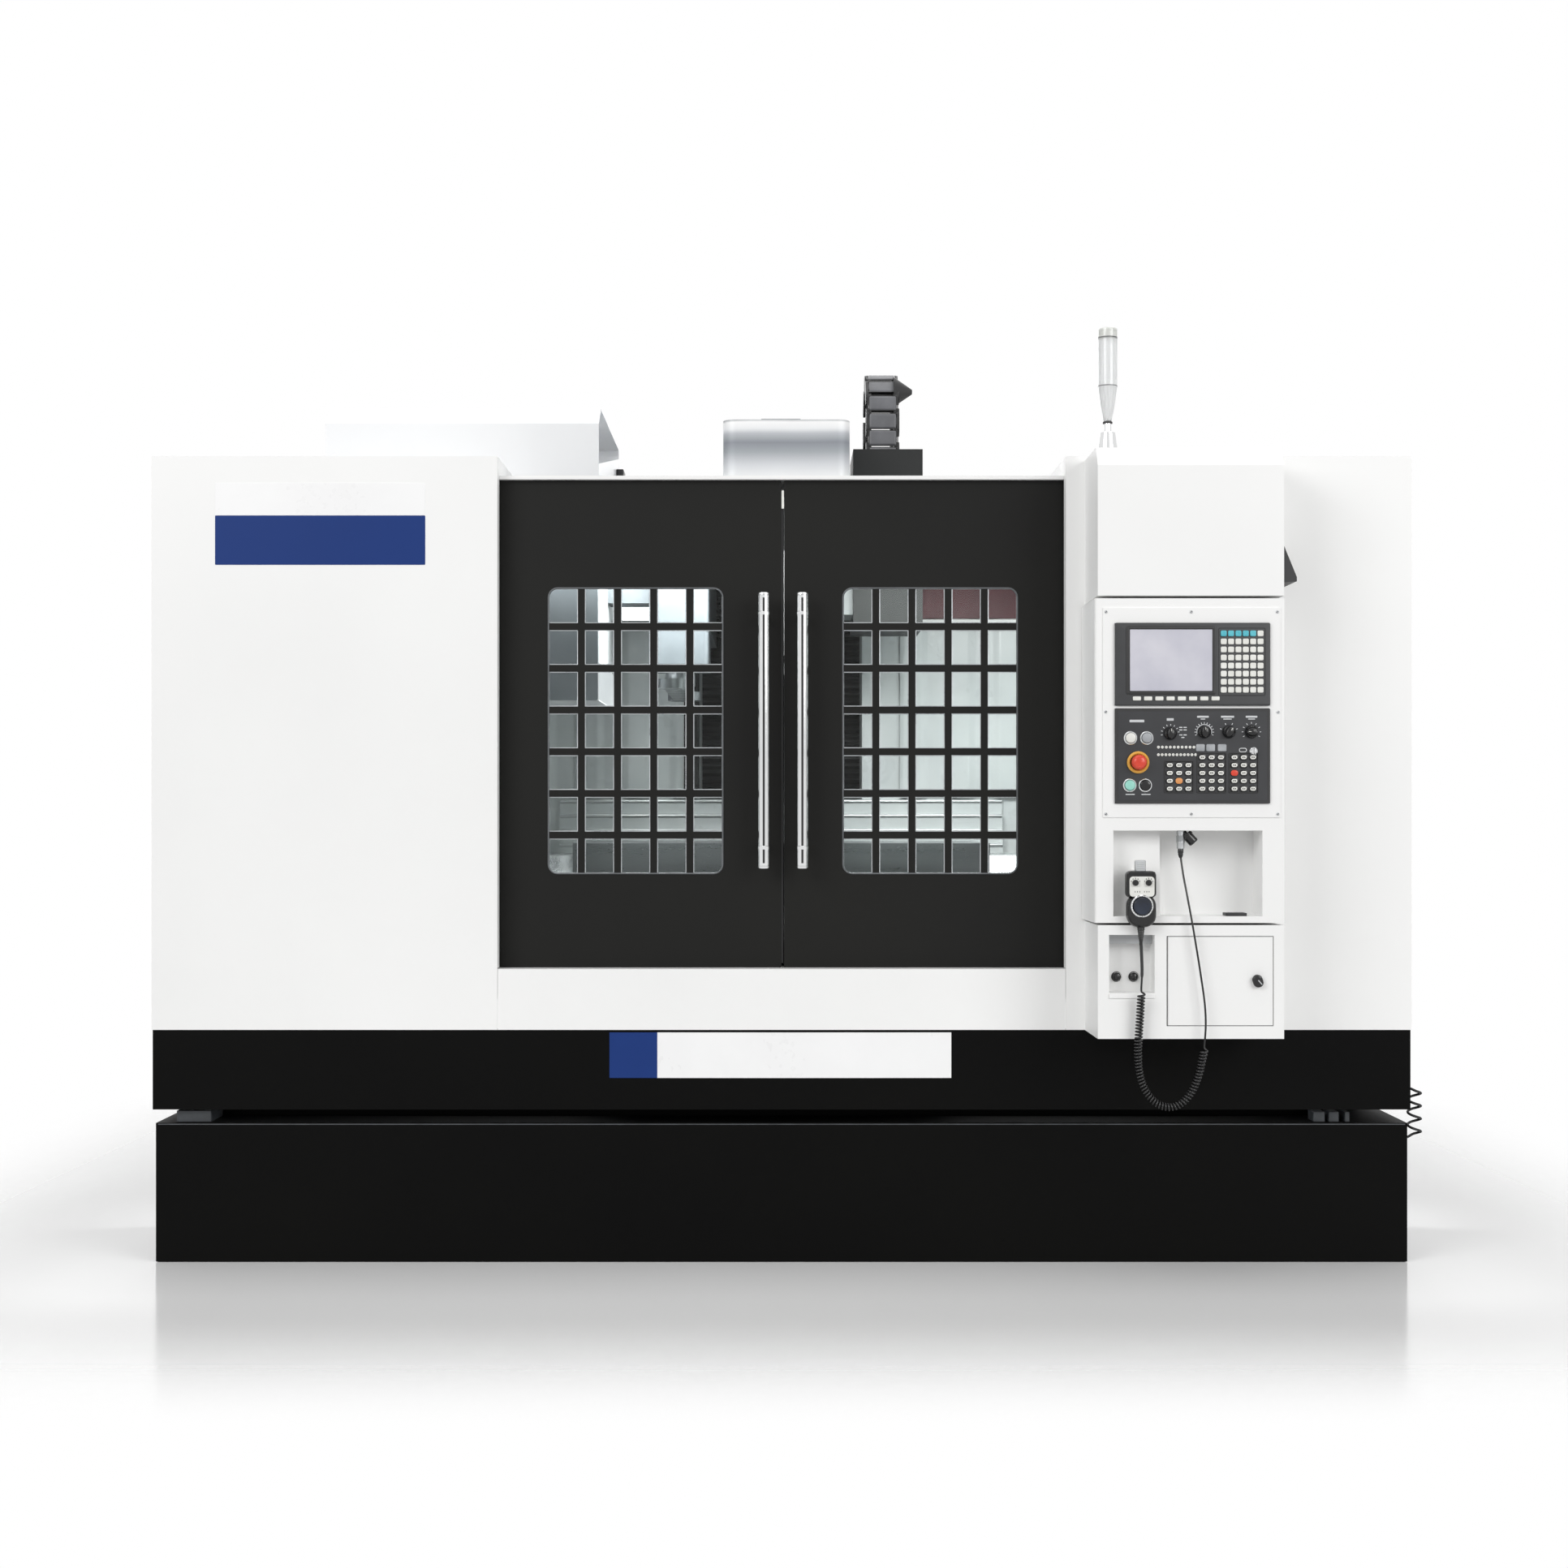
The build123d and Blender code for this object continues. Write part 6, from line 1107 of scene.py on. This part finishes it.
def build_gap_items():
    """Chute, brackets and a grey bead that paints the tank edge's highlight, between skirt and tank, and the
    hood's junction box.
    """
    # The chute and brackets wear galvanised steel darkened as painted shade for the gap they sit in
    piece("chip_chute", slab((-1640, 24, 375), (-1545, 148, 404), 5), "galvanised_painted_shade")
    brackets = [slab((x0, 30, 374.5), (x1, 90, 400), 3)
                for x0, x1 in ((1442, 1474), (1484, 1512), (1528, 1541))]
    piece("tank_brackets", brackets, "galvanised_painted_shade")
    # A grey bead along the tank's top front edge: a painted highlight line on the black coat
    highlight_bead = extruded(circle(10) * 2.2 + (front_of("coolant_tank") + 1.6, 370.4), (-1684, 1684), 0)
    piece("tank_edge_highlight", highlight_bead, "galvanised_painted_shade")
    box = [slab((-561.6, 1500, 2360), (-538, 1600, 2388), 4),
           slab((-561.6, 1535, 2340), (-550, 1565, 2361), 2)]
    piece("hood_junction_box", box, "moulded_black_nylon")


def build_window_sheets():
    """The hood's grey apron of painted shade, a wiper, red panel and ledge behind the windows, and the
    storage gasket.
    """
    # A grey sheet on the hood's lower front: painted shade where the hood falls dark behind the windows
    apron = moulded(838, 540, 6, [(0, 0.2), (0, 2.4), (0.8, 3.2)])
    piece("hood_painted_shade_sheet", placed(apron, (-983.5, 806, 1831)), "gearbox_enamel")
    wiper = [slab((-338, 1842, 1272), (-291, 1859, 1740), 2), slab((-346, 1836, 1272), (-338, 1859, 1740), 2)]
    piece("opening_wiper", wiper, "extruded_rubber")
    panel = moulded(600, 188, 4, [(0, 0), (0, 5.4), (1.2, 6.6)])
    piece("red_wall_panel", placed(panel, (706, 1843, 2005)), "red_enamel")
    ledge = moulded(604, 17, 2, [(0, 0), (0, 14), (2, 18)])
    piece("wall_ledge", placed(ledge, (706, 1843, 1899)), "white_powder_coat")
    gasket = frame_ring(276.4, 232.4, 2.0, [(0, -10.5), (0, -1.2), (1.5, -1.2), (1.5, -10.5)], steps=3)
    piece("storage_gasket", placed(gasket, (1134.5, PENDANT, 775.5)), "extruded_rubber")


def louvres(width, count, at, facing):
    """A bank of pressed louvres: each a long blister, its section a quarter ellipse, (1 - cos a, sin a)."""
    pitch, high, inset = 34, 7, 4.2
    blade = [(inset * (1 - math.cos(a)), high * math.sin(a)) for a in np.linspace(0, math.pi / 2, 5)]
    one, faces = moulded(width, 22, 10.5, blade, steps=5)
    return [placed((one + (0, k * pitch, 0), faces), at, facing) for k in range(count)]


def build_rear_details():
    """Louvres and screws on the sides and the back, and the service lid with its locks."""
    banks = louvres(300, 9, (1330, REAR, 1560), "back") + louvres(300, 9, (-1330, REAR, 1560), "back")
    banks += louvres(360, 10, (HALF_WIDE, 1700, 1500), "right")
    piece("side_louvres", banks, "white_powder_coat")
    screw = turned(button(6.5, 0, 3.0, 1.4, 0.5), 20)
    heads = [placed(screw, (x, REAR, z), "back") for x in (-1670, -1040, 1040, 1670)
             for z in (680, 1150, 1640, 2130)]
    heads += [placed(screw, (HALF_WIDE, y, z), "right") for y in (60, 790, 1520, 2250)
              for z in (670, 1400, 2135)]
    piece("side_screws", heads, "zinc_plate")
    lid = moulded(520, 700, 14, [(0, 0), (0, 2.0), (1.5, 3.5)])
    piece("side_service_lid", placed(lid, (HALF_WIDE, 900, 1120), "right"), "white_powder_coat")
    lock = turned([(15, 3.4), (15, 7), (13, 8.6), (9, 8.6), (9, 7), (0.5, 7)], 32)
    piece("side_lid_locks", [placed(lock, (HALF_WIDE, 1120, z), "right") for z in (880, 1360)],
          "glossy_black")


def build_cabinet_fittings():
    """The cabinet's hinge barrels, two fan boxes and the main switch on its side, and the glands below it."""
    side, middle, fans = 800, 2740, (1850, 850)
    barrel = [(5.2, 0), (6.2, 1), (6.2, 29), (5.6, 30), (5.6, 31), (6.2, 32), (6.2, 60), (5.2, 61)]
    hinges = [placed(turned(barrel, 20), (x, 2866, z), "up") for x in (-side - 6.4, side + 6.4)
              for z in (600, 1270, 1940)]
    piece("cabinet_hinges", hinges, "zinc_plate")
    box = moulded(180, 220, 12, [(0, 0), (0, 22), (6, 30)])
    piece("cabinet_fans", [placed(box, (side, middle, z), "right") for z in fans], "moulded_grey_plastic")
    slat = moulded(140, 7, 3, [(0, 29.5), (0, 32), (1, 33)], steps=4)
    slats = [placed(slat, (side, middle, z + k * 18), "right") for z in fans for k in range(-4, 5)]
    piece("cabinet_fan_slats", slats, "moulded_black_nylon")
    switch = (side, middle, 1420)
    plate = moulded(96, 96, 6, [(0, 0), (0, 1.4), (0.8, 2.2)])
    piece("switch_plate", placed(plate, switch, "right"), "yellow_ring")
    knob = [placed(turned(button(30, 2, 16, 4), 40), switch, "right"),
            placed(moulded(15, 64, 6, [(0, 14), (0, 34), (2.5, 37)]), switch, "right", 35)]
    piece("switch_knob", knob, "red_cap")
    gland = turned([(16, 0), (16, 7), (13.4, 7), (13.4, 20), (11, 26), (8.4, 27)], 24)
    piece("cable_glands", [placed(gland, (x, middle, 450), "down") for x in range(-640, -240, 50)],
          "moulded_grey_plastic")


def build_lifting_eyes():
    """Eye bolts on the cabinet and the column: each a ring, its middle above a flared foot."""
    radius, thick, rise = 22, 6.0, 34
    foot = turned([(18, 0), (18, 5), (11, 8), (8, 15)], 28)
    eyes = []
    for x, y, z in ((-740, 2740, 2150), (740, 2740, 2150), (-270, 2480, 2440), (270, 2480, 2440)):
        loop = np.insert(circle(28) * radius + (x, z + rise), 1, y, axis=1)
        eyes += [tube(loop, thick, side=(0, 1, 0), wrap=True), placed(foot, (x, y, z), "up")]
    piece("lifting_eyes", eyes, "zinc_plate")


def build_air_unit():
    """The air unit on the right rear sheet: two bowls under a die-cast head with a gauge and two knobs."""
    x, bowl_xs, axis = 1330, (1292, 1368), REAR + 38
    head = [placed(moulded(150, 54, 8, [(0, 4), (0, 66), (5, 72)]), (x, REAR, 1210), "back"),
            placed(moulded(96, 84, 6, [(0, 0), (0, 5)]), (x, REAR, 1210), "back")]
    piece("air_unit_head", head, "gearbox_enamel")
    bowl = turned([(24, 0), (24, 70), (20, 92), (9, 99), (6, 101), (6, 110), (0.5, 111)], 32)
    piece("air_unit_bowls", [placed(bowl, (at, axis, 1184), "down") for at in bowl_xs], "milky_polyethylene")
    gauge = [placed(one, (x, REAR + 71, 1212), "back")
             for one in (ring(17, 21, 0, 12, 2, 40), turned(button(17.5, 0, 8, 2)))]
    piece("air_unit_gauge", gauge, "polished_chrome")
    knob = turned([(15, 0), (15, 26), (12, 30), (0.5, 30)], 24)
    piece("air_unit_knobs", [placed(knob, (at, axis, 1236), "up") for at in bowl_xs], "glossy_black")


def build_oil_unit():
    """The way-oil unit on the left rear sheet: a bottle with ribs under a pump block with its filler cap."""
    ribs = [(74, 0), (78, 3), (78, 30), (75, 33), (75, 37), (78, 40), (78, 80), (75, 83), (75, 87), (78, 90),
            (78, 150), (74, 156)]
    bottle = stacked([(outline(2 * half, 1.25 * half, 22), high) for half, high in ribs])
    piece("oil_bottle", placed(bottle, (-1330, REAR + 56, 1000), "up"), "milky_polyethylene")
    block = [slab((-1400, REAR + 1, 1157), (-1260, REAR + 104, 1176), 10),
             slab((-1385, REAR + 1, 1176), (-1275, REAR + 92, 1262), 8)]
    piece("oil_pump", block, "gearbox_enamel")
    cap = turned([(19, 0), (19, 12), (16, 15), (0.5, 15)], 28)
    piece("oil_filler_cap", placed(cap, (-1296, REAR + 50, 1262), "up"), "glossy_black")


def build_motor_fins():
    """Cooling fins round the feed motor on the column, a square ring every 11 mm."""
    thick, deep = 3.2, 4.2
    fin = frame_ring(152, 152, 8, [(0, 0), (0, thick), (deep, thick), (deep, 0)], steps=4)
    fins = [placed(fin, (0, 2150, z), "up") for z in np.arange(2500, 2650, 11.0)]
    piece("feed_motor_fins", fins, "gearbox_enamel")


# Add-on


class CordSizes(bpy.types.PropertyGroup):
    """Sizes of the two coiled cords, in millimetres."""
    wire: bpy.props.FloatProperty(
        name="Wire", description="Diameter of the hand-wheel cord in mm", default=5.2, min=4, max=8)
    coil_width: bpy.props.FloatProperty(
        name="Coil width", description="Outside width of its coil in mm", default=22.4, min=16, max=26)
    coil_turns: bpy.props.IntProperty(
        name="Turns", description="Turns in its coil", default=62, min=20, max=84)
    side_coil: bpy.props.FloatProperty(
        name="Side coil", description="Radius of the side cable's turns in mm", default=17.5, min=12, max=18)


class PlateColours(bpy.types.PropertyGroup):
    """Colours of the blank plates."""
    pale: bpy.props.FloatVectorProperty(
        name="Pale field", description="Colour of the plates' pale field", size=3, subtype="COLOR",
        default=linear("#F8F8F8")[:3], min=0, max=1)
    deep: bpy.props.FloatVectorProperty(
        name="Deep field", description="Colour of the plates' blue field", size=3, subtype="COLOR",
        default=linear("#203A78")[:3], min=0, max=1)


class StudioLight(bpy.types.PropertyGroup):
    """Strength of the studio's lamps and surroundings."""
    lamps: bpy.props.FloatProperty(
        name="Lamps", description="Share of the soft boxes' power", default=0.8, subtype="FACTOR", min=0.1,
        max=3.0)
    air: bpy.props.FloatProperty(
        name="Surroundings", description="Brightness of the pale surroundings", default=0.38,
        subtype="FACTOR", min=0.1, max=1.0)


class MACHINE_OT_studio(bpy.types.Operator):
    """Sets the floor, the pale surroundings, the lamps and the camera"""
    bl_idname = "machine.studio"
    bl_label = "Studio"

    def execute(self, context):
        build_studio(context.scene.machine_light)
        return {"FINISHED"}


class MACHINE_OT_hand_cord(bpy.types.Operator):
    """Winds the curly cord of the hand wheel"""
    bl_idname = "machine.hand_cord"
    bl_label = "Hand-wheel cord"

    def execute(self, context):
        build_hand_cord(context.scene.machine_cords)
        return {"FINISHED"}


class MACHINE_OT_side_cable(bpy.types.Operator):
    """Winds the short coiled cable at the right"""
    bl_idname = "machine.side_cable"
    bl_label = "Side cable"

    def execute(self, context):
        build_side_cable(context.scene.machine_cords)
        return {"FINISHED"}


class MACHINE_OT_finishes(bpy.types.Operator):
    """Gives every part of the frame its real finish"""
    bl_idname = "machine.finishes"
    bl_label = "Finishes"

    def execute(self, context):
        dress_frame()
        return {"FINISHED"}


class MACHINE_OT_blank_plates(bpy.types.Operator):
    """Sticks the two blank plates on the cover and the skirt"""
    bl_idname = "machine.blank_plates"
    bl_label = "Blank plates"

    def execute(self, context):
        build_blank_plates(context.scene.machine_plates)
        return {"FINISHED"}


class MACHINE_OT_window_seals(bpy.types.Operator):
    """Fits the window frames and the seal where the doors meet"""
    bl_idname = "machine.window_seals"
    bl_label = "Window seals"

    def execute(self, context):
        build_window_seals()
        return {"FINISHED"}


class MACHINE_OT_handle_collars(bpy.types.Operator):
    """Adds the collars and end caps of the door handles"""
    bl_idname = "machine.handle_collars"
    bl_label = "Handle collars"

    def execute(self, context):
        build_handle_collars()
        return {"FINISHED"}


class MACHINE_OT_display(bpy.types.Operator):
    """Makes the display unit with its screen and keypad"""
    bl_idname = "machine.display"
    bl_label = "Display unit"

    def execute(self, context):
        build_display()
        return {"FINISHED"}


class MACHINE_OT_operator_panel(bpy.types.Operator):
    """Makes the operator panel's face, keys, rings and scales"""
    bl_idname = "machine.operator_panel"
    bl_label = "Operator panel"

    def execute(self, context):
        build_operator_panel()
        return {"FINISHED"}


class MACHINE_OT_buttons(bpy.types.Operator):
    """Makes the caps of the buttons, the stop and the knobs"""
    bl_idname = "machine.buttons"
    bl_label = "Buttons and knobs"

    def execute(self, context):
        build_buttons()
        return {"FINISHED"}


class MACHINE_OT_handset(bpy.types.Operator):
    """Makes the hand wheel's box and its dial"""
    bl_idname = "machine.handset"
    bl_label = "Hand wheel"

    def execute(self, context):
        build_handset()
        return {"FINISHED"}


class MACHINE_OT_console_trim(bpy.types.Operator):
    """Adds the console's screws, niche fittings and vent hood"""
    bl_idname = "machine.console_trim"
    bl_label = "Console trim"

    def execute(self, context):
        build_console_trim()
        return {"FINISHED"}


class MACHINE_OT_chain_lids(bpy.types.Operator):
    """Snaps the lids on the cable chain's links"""
    bl_idname = "machine.chain_lids"
    bl_label = "Cable chain lids"

    def execute(self, context):
        build_chain_covers()
        return {"FINISHED"}


class MACHINE_OT_tower(bpy.types.Operator):
    """Adds the core, grooves, cap and collar of the signal tower"""
    bl_idname = "machine.tower"
    bl_label = "Signal tower"

    def execute(self, context):
        build_tower()
        return {"FINISHED"}


class MACHINE_OT_guard_inside(bpy.types.Operator):
    """Fits the folded sheets, way covers, lips and lamp that the windows show"""
    bl_idname = "machine.guard_inside"
    bl_label = "Inside the guard"

    def execute(self, context):
        build_guard_inside()
        return {"FINISHED"}


class MACHINE_OT_gap_items(bpy.types.Operator):
    """Adds the fittings between skirt and tank and the hood's junction box"""
    bl_idname = "machine.gap_items"
    bl_label = "Small fittings"

    def execute(self, context):
        build_gap_items()
        return {"FINISHED"}


class MACHINE_OT_window_sheets(bpy.types.Operator):
    """Fits the apron, wiper, red panel and ledge behind the windows, and the storage door's gasket"""
    bl_idname = "machine.window_sheets"
    bl_label = "Window sheets"

    def execute(self, context):
        build_window_sheets()
        return {"FINISHED"}


class MACHINE_OT_rear_details(bpy.types.Operator):
    """Adds the louvres, the screws and the service lid at the sides and the back"""
    bl_idname = "machine.rear_details"
    bl_label = "Sides and back"

    def execute(self, context):
        build_rear_details()
        return {"FINISHED"}


class MACHINE_OT_cabinet_fittings(bpy.types.Operator):
    """Adds the cabinet's hinges, fans, main switch and glands"""
    bl_idname = "machine.cabinet_fittings"
    bl_label = "Cabinet fittings"

    def execute(self, context):
        build_cabinet_fittings()
        return {"FINISHED"}


class MACHINE_OT_lifting_eyes(bpy.types.Operator):
    """Screws the eye bolts into the cabinet and the column"""
    bl_idname = "machine.lifting_eyes"
    bl_label = "Lifting eyes"

    def execute(self, context):
        build_lifting_eyes()
        return {"FINISHED"}


class MACHINE_OT_air_unit(bpy.types.Operator):
    """Hangs the air unit on the right rear sheet"""
    bl_idname = "machine.air_unit"
    bl_label = "Air unit"

    def execute(self, context):
        build_air_unit()
        return {"FINISHED"}


class MACHINE_OT_oil_unit(bpy.types.Operator):
    """Hangs the way-oil unit on the left rear sheet"""
    bl_idname = "machine.oil_unit"
    bl_label = "Oil unit"

    def execute(self, context):
        build_oil_unit()
        return {"FINISHED"}


class MACHINE_OT_motor_fins(bpy.types.Operator):
    """Adds the cooling fins round the feed motor"""
    bl_idname = "machine.motor_fins"
    bl_label = "Motor fins"

    def execute(self, context):
        build_motor_fins()
        return {"FINISHED"}


STEPS = (MACHINE_OT_studio, MACHINE_OT_hand_cord, MACHINE_OT_side_cable, MACHINE_OT_finishes,
         MACHINE_OT_blank_plates, MACHINE_OT_window_seals, MACHINE_OT_handle_collars, MACHINE_OT_display,
         MACHINE_OT_operator_panel, MACHINE_OT_buttons, MACHINE_OT_handset, MACHINE_OT_console_trim,
         MACHINE_OT_chain_lids, MACHINE_OT_tower, MACHINE_OT_guard_inside, MACHINE_OT_gap_items,
         MACHINE_OT_window_sheets, MACHINE_OT_rear_details, MACHINE_OT_cabinet_fittings,
         MACHINE_OT_lifting_eyes, MACHINE_OT_air_unit, MACHINE_OT_oil_unit, MACHINE_OT_motor_fins)
SETTINGS = {"machine_cords": CordSizes, "machine_plates": PlateColours, "machine_light": StudioLight}


class MACHINE_PT_panel(bpy.types.Panel):
    """Lists the machine's settings and building steps"""
    bl_idname = "MACHINE_PT_panel"
    bl_label = "Machining centre"
    bl_space_type = "VIEW_3D"
    bl_region_type = "UI"
    bl_category = "Machine"

    def draw(self, context):
        for name, group in SETTINGS.items():
            box = self.layout.box()
            for key in group.__annotations__:
                box.prop(getattr(context.scene, name), key)
        for step in STEPS:
            self.layout.operator(step.bl_idname)


def register():
    for kind in (*SETTINGS.values(), *STEPS, MACHINE_PT_panel):
        bpy.utils.register_class(kind)
    for name, kind in SETTINGS.items():
        setattr(bpy.types.Scene, name, bpy.props.PointerProperty(type=kind))


def unregister():
    for name in SETTINGS:
        delattr(bpy.types.Scene, name)
    for kind in reversed((*SETTINGS.values(), *STEPS, MACHINE_PT_panel)):
        bpy.utils.unregister_class(kind)


def main():
    """Builds everything in order."""
    register()
    for step in STEPS:
        kind, name = step.bl_idname.split(".")
        getattr(getattr(bpy.ops, kind), name)()


if __name__ == "__main__":
    main()
